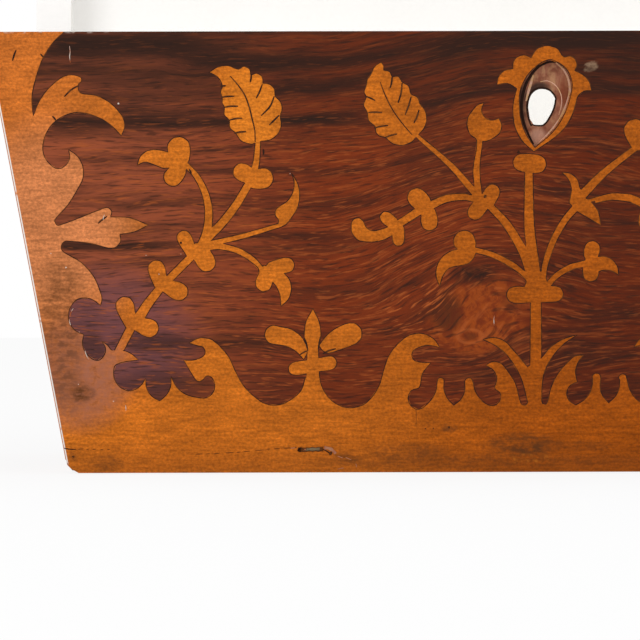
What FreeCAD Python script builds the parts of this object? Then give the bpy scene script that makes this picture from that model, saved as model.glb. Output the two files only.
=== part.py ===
import FreeCAD, Part
import math
import os
from FreeCAD import Vector

# A sarcophagus-shaped marquetry box with a hinged lid, in millimetres.
# The origin is the centre of the underside, +Z is up and the front faces -Y.
# The lid is built shut and then turned back about its hinge pins to the open rest pose.

# Case: the rim stands out past the foot by the overhang on all four sides
RIM_WIDTH = 300.0
RIM_DEPTH = 200.0
BODY_HEIGHT = 120.0
OVERHANG = 21.0
BASE_BOARD = 6.4
BOARD = 9.0
VENEER = 1.2
LINING = 0.8
LINING_REVEAL = 3.0
ARRIS = 0.8

# Lid: an upright band, four slopes and a flat top
LID_GAP = 0.3
LID_BAND = 14.0
LID_RISE = 26.0
LID_RUN = 34.0
LID_RAIL = 10.0
LID_SLOPE_BOARD = 8.0
LID_TOP_BOARD = 6.0
LID_PANEL = 2.0
LID_PANEL_CLEARANCE = 0.2
LID_OPENING_DEG = 98.0
STOP_CLEARANCE_DEG = 1.0

# Brass butt hinges let into the back rims
HINGE_INSET = 2.6
HINGE_LENGTH = 40.0
HINGE_FROM_END = 62.0
KNUCKLES = 3
BARREL_RADIUS = 2.0
PIN_RADIUS = 1.0
PIN_CLEARANCE = 0.05
KNUCKLE_GAP = 0.2
BARREL_POCKET = 0.3
LEAF_WIDTH = 6.4
LEAF_THICKNESS = 1.3
SCREW_SPACING = 26.0
SCREW_OFFSET = 4.3
SCREW_HEAD_RADIUS = 1.5
SCREW_SHANK_RADIUS = 0.8
SCREW_LENGTH = 9.0
SCREW_FACETS = 12
SCREW_CLEARANCE = 0.04

# Lost lock: its empty mortise, the slot of its face plate and the bed of its escutcheon
LOCK_WIDTH = 46.0
LOCK_HEIGHT = 36.0
LOCK_DEPTH = 5.6
LOCK_PLATE_WIDTH = 62.0
LOCK_PLATE_DEPTH = 7.0
LOCK_PLATE_THICKNESS = 1.6
ESCUTCHEON_DEPTH = 0.9

# Straight bands on the panels that the photograph does not show
SIDE_BAND = 9.0
FOOT_BAND = 17.0
LID_TOP_BAND = 11.0

# Length by which a cutting shape runs past what it cuts
OVERRUN = 4.0

# Where the front panel lies in the photograph, in pixels, and how much nearer its rim is
PHOTO_RIM_ROW = 32.0
PHOTO_BASE_ROW = 474.0
PHOTO_RIM_AXIS = 540.0
PHOTO_BASE_AXIS = 536.0
PHOTO_RIM_EDGE = -16.5
PHOTO_BASE_EDGE = 68.6
PHOTO_NEARNESS = 1.021

# How far a straight saw cut may stray from the curve it follows in the marquetry, in pixels
PHOTO_SAW_STEP = 0.88

# Marquetry outlines in photo pixels: curve end, point on the curve, curve end, and so on
BORDER_SIDE = [
    (64, 31), (45.5, 53), (35, 80), (31.5, 98), (33, 116.4), (42, 96.5), (58, 80), (70, 75.3),
    (80.5, 78), (80.8, 82), (78.4, 84.4), (78, 89.7), (81, 93.8), (100.3, 97.7), (118.4, 112),
    (124.3, 125), (121, 136.3), (106.7, 122.8), (80, 113), (54.4, 122.3), (42.7, 145.2),
    (45.3, 159), (57.6, 169.2), (68.3, 162), (68.3, 150), (82, 165), (77.9, 189), (68.5, 204.5),
    (55, 220), (55.7, 224), (58.7, 226), (80, 217.5), (102.4, 209.3), (111.3, 211.5),
    (110.4, 217.5), (130, 218.6), (148.3, 225.7), (137, 231.6), (120, 235), (119, 245),
    (108.8, 248.8), (90.7, 244), (70.4, 241.9), (61.5, 246), (66, 254), (88.5, 270),
    (101.3, 295), (102, 301.5), (100.8, 306), (90.5, 299.5), (79, 299.5), (68.7, 315),
    (84, 335.3), (84.5, 351), (97.3, 361.3), (104.5, 356), (102, 342), (108, 346),
    (112.7, 351.3), (118, 351.3), (123.3, 351.3), (131, 354.2), (138.7, 360.7), (127, 363.4),
    (116.7, 365.3), (115.5, 381.5), (130.7, 391.7), (141, 386.8), (146, 379.5), (149.5, 394),
    (160, 402), (169.5, 391.5), (171.3, 377.3), (181, 392), (198, 398.5), (214.5, 391),
    (212, 378.7), (207, 377.2), (203.3, 380.7), (199, 382.6), (195.3, 380), (189.5, 370.5),
    (184, 361.2), (195, 360.8), (203.3, 357.3), (205.2, 351.5), (198.7, 347), (194.5, 346.4),
    (189.3, 344), (204, 338.7), (220, 347.3), (229, 358), (235, 371), (244, 387), (256, 399),
    (273.5, 406.5), (291, 401), (301.5, 391.5), (306.5, 378), (313, 377), (319.3, 374),
    (324, 392), (336, 405), (352, 409.3), (368, 403), (377, 391.5), (384, 371), (393, 351),
    (407, 338), (426, 336), (440, 349), (427, 347), (416, 350.3), (412, 356.5), (419, 363.5),
    (425, 363.8), (431, 364.3), (423.5, 373.5), (419.5, 389), (408.3, 400), (419, 411),
]
BORDER_CENTRE = [
    (419, 411), (432, 400.5), (438, 381), (441, 379.3), (444, 381), (446.5, 398), (454, 407),
    (462, 399.5), (465, 383), (469.5, 379.6), (473, 383), (478, 397.5), (488, 406.5),
    (500.5, 401.5), (495, 390), (496.8, 379), (486, 367), (494, 363.2), (504, 367.6),
    (515, 384), (521, 405), (524, 407), (527, 401), (520, 377), (508, 358), (497, 348.3),
    (483, 341), (496.5, 339.5), (512, 350), (521, 360.2), (528, 369), (534.5, 364.5),
    (541, 360), (556, 345), (578, 336.5), (557, 353), (545, 373), (542.3, 388), (542, 402),
    (545, 406.5), (548, 403), (556, 379), (569, 363), (576, 357.8), (584, 357), (577.5, 366),
    (577.5, 384), (567, 396), (576, 407), (587.5, 398.5), (593, 382), (598, 375.3), (601, 380),
    (602, 396), (609, 405), (618, 394.5), (620, 383), (623.5, 376), (627, 381), (633, 397),
    (647, 408.5), (652, 410.4),
]
SERRATED_LEAF = [
    (209, 73), (222, 66.5), (238, 70), (244.5, 67.3), (250.5, 76), (258, 74.5), (262.5, 84),
    (270, 85.5), (275, 97), (281.3, 105.5), (280, 117), (280.5, 129), (261, 142), (247, 144.5),
    (235, 133.5), (229.5, 128), (229, 121), (224.3, 116), (224, 108), (222, 103.5), (222, 98.5),
    (220.3, 92.5), (222, 86.5), (218.5, 79), (209, 73),
]
UPRIGHT_LEAF = [
    (381, 63), (383.3, 66.5), (383.5, 71), (388.5, 72), (392, 78), (398, 77.5), (402, 83),
    (407.5, 86), (411, 95), (417, 98), (420, 105), (426.3, 116.5), (418, 136), (403, 146.3),
    (385, 138.5), (377.5, 135.5), (375, 127.5), (368.5, 121.5), (367, 113), (363.5, 105.5),
    (366, 98.5), (364, 93), (366, 87), (367, 81), (371, 75), (374.5, 67.5), (381, 63),
]
HOOKED_LEAF = [
    (291.5, 174), (299.6, 196), (290.5, 220), (286, 225.5), (279, 229), (277, 227.5),
    (275, 226), (278.5, 223.5), (278.5, 221), (275, 214.5), (279, 207.5), (292, 195),
    (291.5, 174),
]
LEFT_HORN = [
    (137, 166), (143, 154), (156, 150.3), (166, 152), (176, 158), (179, 164), (174, 168.3),
    (160, 168.3), (153, 165), (145.5, 162.7), (137, 166),
]
LOWER_HORN = [
    (281, 307.5), (291.5, 290), (283, 273), (275, 272), (270, 280), (279.5, 294.5), (281, 307.5),
]
TULIP = [
    (477, 142), (467, 126), (473, 111), (477.5, 106.3), (484, 104), (482.5, 115), (491, 121.5),
    (495, 121.3), (499, 119.5), (501.7, 126), (494, 139), (487, 142.6), (477, 142),
]
CURL = [
    (396, 225), (386, 229), (373, 232), (366.8, 229), (363, 222), (357.5, 219), (351.7, 223.5),
    (351.6, 233), (358, 241.3), (376, 243), (394, 236), (396, 231), (396, 225),
]
LOWER_SICKLE = [
    (440, 288), (436.5, 269.5), (450, 252.8), (463, 249), (477, 252), (473.5, 260),
    (468, 265.2), (458, 267.2), (449.5, 269.7), (443.3, 277), (440, 288),
]
UPPER_SICKLE = [
    (562, 174), (572.5, 176), (580, 189), (584, 198), (578, 208), (571, 207), (570.5, 199),
    (570.5, 185), (562, 174),
]
FALLING_SICKLE = [
    (601, 227), (590, 219.7), (576, 212.5), (576, 203), (590, 201.5), (598, 212), (601, 227),
]
RIGHT_SICKLE = [
    (619, 277), (610, 272.3), (597, 274), (590, 266), (597, 258.3), (613, 262), (619, 277),
]
FLOWER = [
    (497, 86), (501, 74.5), (513, 70), (518.5, 57.5), (531, 59), (547.5, 46.8), (564, 58),
    (575.5, 61), (575, 72), (586, 78.5), (592, 92), (580.5, 95), (576, 105), (567.5, 125.5),
    (552, 141), (543.5, 147.5), (534, 153), (518, 135.5), (513, 112), (513.8, 102), (517, 90),
    (508, 84.8), (497, 86),
]
ESCUTCHEON_BED = [
    (535, 149), (523, 128), (519.5, 108), (525, 80.5), (549, 61), (567, 71), (572, 92),
    (561.5, 121.5), (535, 149),
]
PALMETTE_LEFT = [
    (304, 361), (292, 350), (275, 345.5), (264.8, 336.5), (279, 327.5), (296, 333), (308, 349),
    (307, 355), (304, 361),
]
PALMETTE_CENTRE = [
    (308, 352), (304.6, 330), (313, 310), (320, 326), (318.5, 350), (313, 351), (308, 352),
]
PALMETTE_RIGHT = [
    (319, 347), (331, 333), (347, 324.8), (362, 333), (355, 345.5), (342, 349.6), (329, 354.5),
    (323, 352), (319, 347),
]
WORN_CORNER = [(66.5, 461), (71.5, 469.3), (91, 475)]

# Stems in photo pixels: start, point half-way, end, width at the start, width at the end
LEFT_STEMS = [
    ((132, 327), (124, 341.5), (114.5, 361), 9, 8.5),
    ((137, 322), (147.5, 305.5), (161, 288), 11, 8.5),
    ((165, 284), (179, 269), (195, 254), 8, 8),
    ((202, 246), (208, 206), (184, 163.5), 10, 5.5),
    ((203, 243), (229, 215.5), (249, 184), 9, 8),
    ((252, 182), (256.3, 162), (257.8, 141), 8, 5),
    ((204, 246), (246, 236.3), (279, 226.5), 6, 4.5),
    ((203, 248), (236, 251), (265, 274), 7, 5.5),
]
CENTRE_STEMS = [
    ((536, 378), (536, 340), (536, 298), 12, 10.5),
    ((536.5, 296), (536.5, 285), (536.5, 273), 27, 17),
    ((533, 284), (501, 260), (470, 250), 6.5, 5.5),
    ((534, 282), (513, 234.5), (486, 203), 11, 7),
    ((481, 201), (449, 165), (417, 137), 8, 4),
    ((479, 202), (476.7, 165), (480, 140), 7.5, 6),
    ((536, 284), (528.8, 215), (529, 170), 12, 8),
    ((542, 288), (556, 237), (580, 204), 6, 7.5),
    ((579, 200), (610, 169.5), (664, 133), 10, 5),
    ((582, 203.5), (612, 198.8), (652, 209), 3, 7),
    ((545, 290), (562, 273.5), (588, 264.5), 6, 6.5),
]
ARM_STEMS = [
    ((482, 202), (458, 198.2), (430, 207), 6, 8.5),
    ((424, 209), (411.5, 217), (396, 227), 9, 7.5),
]
PALMETTE_STEMS = [((313, 346), (313, 362), (313, 381), 11, 13)]

# Lobes in photo pixels: two round ends, each as column, row and radius
LEFT_LOBES = [
    ((131, 325, 6), (125, 306.5, 9.2)),
    ((138, 325, 7), (149.5, 329, 9.3)),
    ((161, 285, 7), (156.5, 269.5, 8.6)),
    ((167, 287, 7), (179, 292.5, 9.2)),
    ((192, 254, 6), (184, 238.5, 7.3)),
    ((200, 252, 9.5), (206.5, 263.5, 9.2)),
    ((180, 160, 9), (178.5, 149, 11.6)),
    ((179, 171, 7.5), (173, 177.5, 9.5)),
    ((250, 177, 8), (242, 173, 9.2)),
    ((253, 181, 8.5), (262.5, 179.3, 10.6)),
    ((271, 268.5, 5.5), (286.5, 266.3, 8)),
    ((266, 273, 7), (264, 284, 8.6)),
]
CENTRE_LOBES = [
    ((515, 296.5, 8.3), (555.5, 295.7, 8)),
    ((487, 203, 8), (492.5, 193.3, 7.7)),
    ((482, 205, 8), (475.3, 213.7, 7.8)),
    ((468, 248, 8), (464.5, 242.8, 11)),
    ((522, 164, 9), (537, 165.5, 9.5)),
    ((638, 146, 7), (635.5, 132, 11.5)),
    ((591, 258, 7), (592.5, 250.5, 8)),
    ((591, 266, 8), (591, 275.5, 8)),
]
ARM_LOBES = [
    ((423, 205, 9), (417, 199, 9.8)),
    ((428.5, 213, 7), (429.5, 223.5, 8.6)),
    ((393, 224.5, 6), (386, 218.8, 6.3)),
    ((398, 229, 6), (398.5, 241.5, 6)),
]
PALMETTE_LOBES = [((295, 370, 6.6), (330, 364.3, 7))]
KEYHOLE = ((542.5, 104.5, 14.3), (540, 120, 9.5))

# Sizes that follow from the ones above
SLANT = math.hypot(BODY_HEIGHT, OVERHANG)
LEAN = SLANT / BODY_HEIGHT
WALL_VENEER = VENEER * LEAN
WALL_INNER = (VENEER + BOARD) * LEAN
WALL_LINED = (VENEER + BOARD + LINING) * LEAN
LID_HEIGHT = LID_BAND + LID_RISE
SLOPE_LEAN = math.hypot(LID_RISE, LID_RUN) / LID_RISE
SLOPE_VENEER = VENEER * SLOPE_LEAN
SLOPE_INNER = (VENEER + LID_SLOPE_BOARD) * SLOPE_LEAN
LID_CORE_TOP = LID_HEIGHT - VENEER - LID_TOP_BOARD
JOINT_Z = BODY_HEIGHT + LID_GAP
AXIS_Y = RIM_DEPTH / 2 - HINGE_INSET
AXIS_Z = BODY_HEIGHT + LID_GAP / 2
KNUCKLE_LENGTH = HINGE_LENGTH / KNUCKLES
HINGE_FROM_CENTRE = RIM_WIDTH / 2 - HINGE_FROM_END
SIDES = ["front", "right", "back", "left"]
X_AXIS = Vector(1, 0, 0)


# Building blocks

def blend(start, end, share):
    return start + (end - start) * share


def body_level(z):
    inset = OVERHANG * (1 - z / BODY_HEIGHT)
    return RIM_WIDTH / 2 - inset, RIM_DEPTH / 2 - inset, z


def lid_level(rise):
    inset = LID_RUN * max(rise - LID_BAND, 0) / LID_RISE
    return RIM_WIDTH / 2 - inset, RIM_DEPTH / 2 - inset, JOINT_Z + rise


def corners(level, inset):
    half_width, half_depth, z = level
    w = half_width - inset
    d = half_depth - inset
    return [Vector(-w, -d, z), Vector(w, -d, z), Vector(w, d, z), Vector(-w, d, z)]


def polygon(points):
    return Part.Face(Part.makePolygon(points + points[:1]))


def solid_through(*rings):
    faces = [polygon(rings[0][::-1]), polygon(rings[-1])]
    for low, high in zip(rings, rings[1:]):
        next_low = low[1:] + low[:1]
        next_high = high[1:] + high[:1]
        faces += [polygon([a, b, c, d]) for a, b, c, d in zip(low, next_low, next_high, high)]
    return Part.Solid(Part.Shell(faces))


def slab(low, high, inset):
    return solid_through(corners(low, inset), corners(high, inset))


def wall(side, low, high, outer, inner):
    start = SIDES.index(side)
    end = start - len(SIDES) + 1
    rings = []
    for level in (low, high):
        out = corners(level, outer)
        back = corners(level, inner)
        rings.append([out[start], out[end], back[end], back[start]])
    return solid_through(*rings)


def rounded(solid):
    rising = [edge for edge in solid.Edges if edge.BoundBox.ZLength > ARRIS]
    return solid.makeFillet(ARRIS, rising)


def box(low, high):
    size = high - low
    return Part.makeBox(size.x, size.y, size.z, low)


def merged(faces):
    sheet = polygon([
        Vector(-RIM_WIDTH, -OVERRUN, 0), Vector(RIM_WIDTH, -OVERRUN, 0),
        Vector(RIM_WIDTH, SLANT + OVERRUN, 0), Vector(-RIM_WIDTH, SLANT + OVERRUN, 0)])
    return sheet.cut(sheet.cut(faces))


# The leaning panels: u runs across, v up the slope and n straight out of the panel

def panel(side):
    outward = {"front": Vector(0, -1, 0), "left": Vector(-1, 0, 0), "right": X_AXIS}[side]
    across = Vector(0, 0, 1).cross(outward)
    up = outward * (OVERHANG / SLANT) + Vector(0, 0, BODY_HEIGHT / SLANT)
    normal = across.cross(up)
    half_width, half_depth, level = body_level(0)
    foot = outward * (half_depth if side == "front" else half_width)
    return FreeCAD.Placement(FreeCAD.Matrix(
        across.x, up.x, normal.x, foot.x,
        across.y, up.y, normal.y, foot.y,
        across.z, up.z, normal.z, foot.z,
        0, 0, 0, 1))


def prism(face, side, deep, proud):
    solid = face.translated(Vector(0, 0, -deep)).extrude(Vector(0, 0, deep + proud))
    return solid.transformed(panel(side).Matrix)


def on_panel(pixels):
    points = []
    for pixel in pixels:
        share = (PHOTO_BASE_ROW - pixel.y) / (PHOTO_BASE_ROW - PHOTO_RIM_ROW)
        axis = blend(PHOTO_BASE_AXIS, PHOTO_RIM_AXIS, share)
        edge = blend(PHOTO_BASE_EDGE, PHOTO_RIM_EDGE, share)
        rise = share * PHOTO_NEARNESS / (1 - share + share * PHOTO_NEARNESS)
        half_width = body_level(rise * BODY_HEIGHT)[0]
        points.append(Vector((pixel.x - axis) / (axis - edge) * half_width, rise * SLANT, 0))
    return points


def mirrored_points(points):
    return [Vector(-p.x, p.y, p.z) for p in reversed(points)]


def mirrored(shape):
    return shape.mirror(Vector(0, 0, 0), X_AXIS)


def arc(start, middle, end):
    if (middle - start).cross(end - start).Length < (end - start).Length * PHOTO_SAW_STEP:
        return [start, end]
    edge = Part.Arc(start, middle, end).toShape()
    sweep = edge.LastParameter - edge.FirstParameter
    widest = 2 * math.acos(max(1 - PHOTO_SAW_STEP / edge.Curve.Radius, 0))
    cuts = math.ceil(sweep / widest)
    return [edge.valueAt(edge.FirstParameter + sweep * cut / cuts) for cut in range(cuts + 1)]


def curve(pixels):
    points = [Vector(column, row, 0) for column, row in pixels]
    cuts = [arc(a, b, c)[:-1] for a, b, c in zip(points[:-2:2], points[1:-1:2], points[2::2])]
    return on_panel(sum(cuts, []) + points[-1:])


def outline(pixels):
    return polygon(curve(pixels)[:-1])


def stem(start, middle, end, start_width, end_width):
    points = [Vector(column, row, 0) for column, row in (start, middle, end)]
    ahead = [points[1] - points[0], points[2] - points[0], points[2] - points[1]]
    widths = (start_width, (start_width + end_width) / 2, end_width)
    half = [Vector(-a.y, a.x, 0).normalize() * (w / 2) for a, w in zip(ahead, widths)]
    left = [p + h for p, h in zip(points, half)]
    right = [p - h for p, h in zip(points, half)]
    return polygon(on_panel(arc(*left) + arc(*reversed(right))))


def lobe(base, tip):
    centres = [Vector(column, row, 0) for column, row, radius in (base, tip)]
    radii = [radius for column, row, radius in (base, tip)]
    reach = centres[1] - centres[0]
    along = Vector(reach).normalize()
    aside = Vector(-along.y, along.x, 0)
    cosine = (radii[0] - radii[1]) / reach.Length
    sine = math.sqrt(1 - cosine * cosine)
    left = [c + (along * cosine + aside * sine) * r for c, r in zip(centres, radii)]
    right = [c + (along * cosine - aside * sine) * r for c, r in zip(centres, radii)]
    far_end = arc(left[1], centres[1] + along * radii[1], right[1])
    near_end = arc(right[0], centres[0] - along * radii[0], left[0])
    return polygon(on_panel(far_end + near_end))


def motif(stems, lobes, outlines):
    return [stem(*s) for s in stems] + [lobe(*b) for b in lobes] + [outline(o) for o in outlines]


# Hinges and the bevels beside them

def stop_bevel(up):
    half_angle = math.radians((LID_OPENING_DEG + STOP_CLEARANCE_DEG) / 2)
    reach = HINGE_INSET + OVERRUN
    apex = Vector(-RIM_WIDTH, AXIS_Y, AXIS_Z)
    wedge = polygon([
        apex, apex + Vector(0, reach, -up * reach),
        apex + Vector(0, reach, up * reach * math.tan(half_angle))])
    return wedge.extrude(X_AXIS * (2 * RIM_WIDTH))


def along_pin(start_x, length, radius):
    return Part.makeCylinder(radius, length, Vector(start_x, AXIS_Y, AXIS_Z), X_AXIS)


def knuckles(centre_x, first, radius, gap):
    start_x = centre_x - HINGE_LENGTH / 2
    return [
        along_pin(start_x + KNUCKLE_LENGTH * index + gap / 2, KNUCKLE_LENGTH - gap, radius)
        for index in range(first, KNUCKLES, 2)]


def screw(x, surface, down, clearance):
    head = (0, SCREW_HEAD_RADIUS)
    neck = (LEAF_THICKNESS, SCREW_SHANK_RADIUS)
    tip = (SCREW_LENGTH, SCREW_SHANK_RADIUS)
    turns = [2 * math.pi * facet / SCREW_FACETS for facet in range(SCREW_FACETS)]
    rings = []
    for depth, radius in (head, neck, tip):
        centre = Vector(x, AXIS_Y - SCREW_OFFSET, surface - down * depth)
        rings.append([centre + Vector(math.cos(t), math.sin(t), 0) * (radius + clearance) for t in turns])
    return solid_through(*(rings[::-1] if down > 0 else rings))


def hinge(centre_x, down):
    surface = BODY_HEIGHT if down > 0 else JOINT_Z
    first = 0 if down > 0 else 1
    ends = sorted([surface, surface - down * LEAF_THICKNESS])
    plate = box(
        Vector(centre_x - HINGE_LENGTH / 2, AXIS_Y - LEAF_WIDTH, ends[0]),
        Vector(centre_x + HINGE_LENGTH / 2, AXIS_Y, ends[1]))
    bore = along_pin(centre_x - HINGE_LENGTH, HINGE_LENGTH * 2, PIN_RADIUS + PIN_CLEARANCE)
    other = knuckles(centre_x, 1 - first, BARREL_RADIUS + KNUCKLE_GAP, -KNUCKLE_GAP)
    leaf = plate.multiFuse(knuckles(centre_x, first, BARREL_RADIUS, KNUCKLE_GAP)).cut([bore] + other)
    screws = []
    for x in (centre_x - SCREW_SPACING / 2, centre_x + SCREW_SPACING / 2):
        leaf = leaf.cut(screw(x, surface, down, SCREW_CLEARANCE))
        screws.append(screw(x, surface, down, 0))
    return leaf, plate, screws


# Front marquetry, drawn flat

def border_face():
    side = curve(BORDER_SIDE)
    top = side[0].y
    return polygon(side + curve(BORDER_CENTRE)[1:] + mirrored_points(side) + [
        Vector(RIM_WIDTH, top, 0), Vector(RIM_WIDTH, -OVERRUN, 0),
        Vector(-RIM_WIDTH, -OVERRUN, 0), Vector(-RIM_WIDTH, top, 0)])


BORDER = border_face()
LEFT_LEAVES = [SERRATED_LEAF, HOOKED_LEAF, LEFT_HORN, LOWER_HORN]
CENTRE_LEAVES = [TULIP, LOWER_SICKLE, UPPER_SICKLE, FALLING_SICKLE, RIGHT_SICKLE, FLOWER]
PALMETTE_LEAVES = [PALMETTE_LEFT, PALMETTE_CENTRE, PALMETTE_RIGHT]
LEFT_SPRAY = merged(motif(LEFT_STEMS, LEFT_LOBES, LEFT_LEAVES)).cut(BORDER)
ARM = motif(ARM_STEMS, ARM_LOBES, [UPRIGHT_LEAF, CURL])
ARMS = ARM + [mirrored(face) for face in ARM]
CENTRE_SPRAY = merged(motif(CENTRE_STEMS, CENTRE_LOBES, CENTRE_LEAVES) + ARMS).cut(BORDER)
PALMETTE = merged(motif(PALMETTE_STEMS, PALMETTE_LOBES, PALMETTE_LEAVES)).cut(BORDER)
FRONT_INLAYS = {
    "front_left_spray": LEFT_SPRAY,
    "front_right_spray": mirrored(LEFT_SPRAY),
    "front_centre_spray": CENTRE_SPRAY,
    "front_palmettes": Part.makeCompound([PALMETTE, mirrored(PALMETTE)]),
    "front_border": BORDER,
}

parts = {}

# Case boards, mitred at the corners and standing on the base board
CASE_FOOT = body_level(0)
CASE_FLOOR = body_level(BASE_BOARD)
CASE_CORE_TOP = body_level(BODY_HEIGHT - VENEER)
CASE_RIM = body_level(BODY_HEIGHT)
CASE_SKIN = rounded(slab(CASE_FOOT, CASE_RIM, 0))

parts["base_board"] = slab(CASE_FOOT, CASE_FLOOR, WALL_VENEER)
for side in SIDES:
    parts[side + "_board"] = wall(side, CASE_FLOOR, CASE_CORE_TOP, WALL_VENEER, WALL_INNER)
parts["rim_facing"] = Part.makeCompound(
    [wall(side, CASE_CORE_TOP, CASE_RIM, WALL_VENEER, WALL_INNER) for side in SIDES])

# Case veneers
veneers = {side: wall(side, CASE_FOOT, CASE_RIM, 0, WALL_VENEER).common(CASE_SKIN) for side in SIDES}
escutcheon = prism(outline(ESCUTCHEON_BED), "front", VENEER + ESCUTCHEON_DEPTH, OVERRUN)
ground = veneers["front"].cut(escutcheon)
for name, face in FRONT_INLAYS.items():
    cutter = prism(face, "front", VENEER + OVERRUN, OVERRUN)
    parts[name] = veneers["front"].common(cutter).cut(escutcheon)
    ground = ground.cut(cutter)
parts["front_ground_veneer"] = ground
parts["back_veneer"] = veneers["back"]

foot_level = body_level(FOOT_BAND / LEAN)
for side in ("left", "right"):
    low = foot_level[1] - SIDE_BAND
    high = CASE_RIM[1] - SIDE_BAND
    right_edge = [Vector(low, FOOT_BAND, 0), Vector(high, SLANT, 0), Vector(high, SLANT + OVERRUN, 0)]
    field_face = polygon(right_edge + mirrored_points(right_edge))
    field = prism(field_face, side, VENEER + OVERRUN, OVERRUN)
    parts[side + "_ground_veneer"] = veneers[side].common(field)
    parts[side + "_border"] = veneers[side].cut(field)

# Paper linings of the case
LINED_FLOOR = body_level(BASE_BOARD + LINING)
LINED_RIM = body_level(BODY_HEIGHT - LINING_REVEAL)
parts["floor_lining"] = slab(CASE_FLOOR, LINED_FLOOR, WALL_INNER)
for side in SIDES:
    parts[side + "_lining"] = wall(side, LINED_FLOOR, LINED_RIM, WALL_INNER, WALL_LINED)

# Empty keyhole and lock mortise
inside = VENEER + BOARD
keyhole = prism(lobe(*KEYHOLE), "front", inside + OVERRUN, OVERRUN)
mortise = box(
    Vector(-LOCK_WIDTH / 2, SLANT - LOCK_HEIGHT, -inside - OVERRUN),
    Vector(LOCK_WIDTH / 2, SLANT + OVERRUN, LOCK_DEPTH - inside))
plate_slot = box(
    Vector(-LOCK_PLATE_WIDTH / 2, SLANT - LOCK_PLATE_THICKNESS, -inside - OVERRUN),
    Vector(LOCK_PLATE_WIDTH / 2, SLANT + OVERRUN, LOCK_PLATE_DEPTH - inside))
mortise.Placement = panel("front")
plate_slot.Placement = panel("front")
parts["front_board"] = parts["front_board"].cut([escutcheon, keyhole, mortise, plate_slot])
parts["rim_facing"] = parts["rim_facing"].cut([mortise, plate_slot])
parts["front_lining"] = parts["front_lining"].cut(mortise)

# Lower left corner of the front, worn away
worn = curve(WORN_CORNER)
worn_face = polygon(worn + [
    Vector(worn[-1].x, -OVERRUN, 0),
    Vector(-RIM_WIDTH / 2, -OVERRUN, 0),
    Vector(-RIM_WIDTH / 2, worn[0].y, 0)])
worn_cutter = prism(worn_face, "front", OVERRUN, OVERRUN)
for name in ("front_border", "left_border", "base_board"):
    parts[name] = parts[name].cut(worn_cutter)

# Lid carcass
LID_FOOT = lid_level(0)
LID_RAIL_FOOT = lid_level(VENEER)
LID_RAIL_TOP = lid_level(LID_BAND)
LID_CORE = lid_level(LID_CORE_TOP)
LID_SKIN_FOOT = lid_level(LID_HEIGHT - VENEER)
LID_TOP = lid_level(LID_HEIGHT)
RAIL_INNER = VENEER + LID_RAIL
LID_SKIN = rounded(slab(LID_FOOT, LID_RAIL_TOP, 0))

lid = {}
for side in SIDES:
    lid["lid_" + side + "_rail"] = wall(side, LID_RAIL_FOOT, LID_RAIL_TOP, VENEER, RAIL_INNER)
    lid["lid_" + side + "_slope"] = wall(side, LID_RAIL_TOP, LID_CORE, SLOPE_VENEER, SLOPE_INNER)
    lid["lid_" + side + "_veneers"] = Part.makeCompound([
        wall(side, LID_FOOT, LID_RAIL_TOP, 0, VENEER).common(LID_SKIN),
        wall(side, LID_RAIL_TOP, LID_TOP, 0, SLOPE_VENEER)])
lid["lid_rim_facing"] = Part.makeCompound(
    [wall(side, LID_FOOT, LID_RAIL_FOOT, VENEER, RAIL_INNER) for side in SIDES])
lid["lid_top_board"] = slab(LID_CORE, LID_SKIN_FOOT, SLOPE_VENEER)
lid["lid_lining_panel"] = slab(
    lid_level(LID_BAND - LID_PANEL), LID_RAIL_TOP, RAIL_INNER + LID_PANEL_CLEARANCE)

# Lid top veneer: a straight border round a plain field
top_skin = slab(LID_SKIN_FOOT, LID_TOP, SLOPE_VENEER)
top_half_width, top_half_depth, top_z = LID_TOP
top_field = slab(
    (top_half_width, top_half_depth, top_z - VENEER - OVERRUN),
    (top_half_width, top_half_depth, top_z + OVERRUN),
    LID_TOP_BAND)
lid["lid_top_ground_veneer"] = top_skin.common(top_field)
lid["lid_top_border"] = top_skin.cut(top_field)

# Bevels along the back edges: they meet and stop the lid when it is open
for name in ("rim_facing", "back_veneer", "left_border", "right_border"):
    parts[name] = parts[name].cut(stop_bevel(-1))
lid["lid_rim_facing"] = lid["lid_rim_facing"].cut(stop_bevel(1))
for side in ("back", "left", "right"):
    parts[side + "_board"] = parts[side + "_board"].cut(stop_bevel(-1))
    for piece in ("_rail", "_veneers"):
        lid["lid_" + side + piece] = lid["lid_" + side + piece].cut(stop_bevel(1))


case_screws = []
lid_screws = []
for name, centre_x in (("left", -HINGE_FROM_CENTRE), ("right", HINGE_FROM_CENTRE)):
    case_leaf, case_plate, screws = hinge(centre_x, 1)
    case_screws += screws
    lid_leaf, lid_plate, screws = hinge(centre_x, -1)
    lid_screws += screws
    parts[name + "_hinge_case_leaf"] = case_leaf
    parts[name + "_hinge_pin"] = along_pin(centre_x - HINGE_LENGTH / 2, HINGE_LENGTH, PIN_RADIUS)
    lid[name + "_hinge_lid_leaf"] = lid_leaf
    reach = BARREL_RADIUS + BARREL_POCKET
    barrel = box(
        Vector(centre_x - HINGE_LENGTH / 2 - BARREL_POCKET, AXIS_Y - reach, AXIS_Z - reach),
        Vector(centre_x + HINGE_LENGTH / 2 + BARREL_POCKET, AXIS_Y + HINGE_INSET + OVERRUN, AXIS_Z + reach))
    for key in ("back_board", "rim_facing", "back_veneer"):
        parts[key] = parts[key].cut([case_plate, barrel])
    for key in ("lid_back_rail", "lid_rim_facing", "lid_back_veneers"):
        lid[key] = lid[key].cut([lid_plate, barrel])
parts["case_hinge_screws"] = Part.makeCompound(case_screws)
lid["lid_hinge_screws"] = Part.makeCompound(lid_screws)

# The lid turns back to its open rest pose, and every node is written
for name, shape in lid.items():
    parts[name] = shape.rotated(Vector(0, AXIS_Y, AXIS_Z), X_AXIS, -LID_OPENING_DEG)

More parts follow.
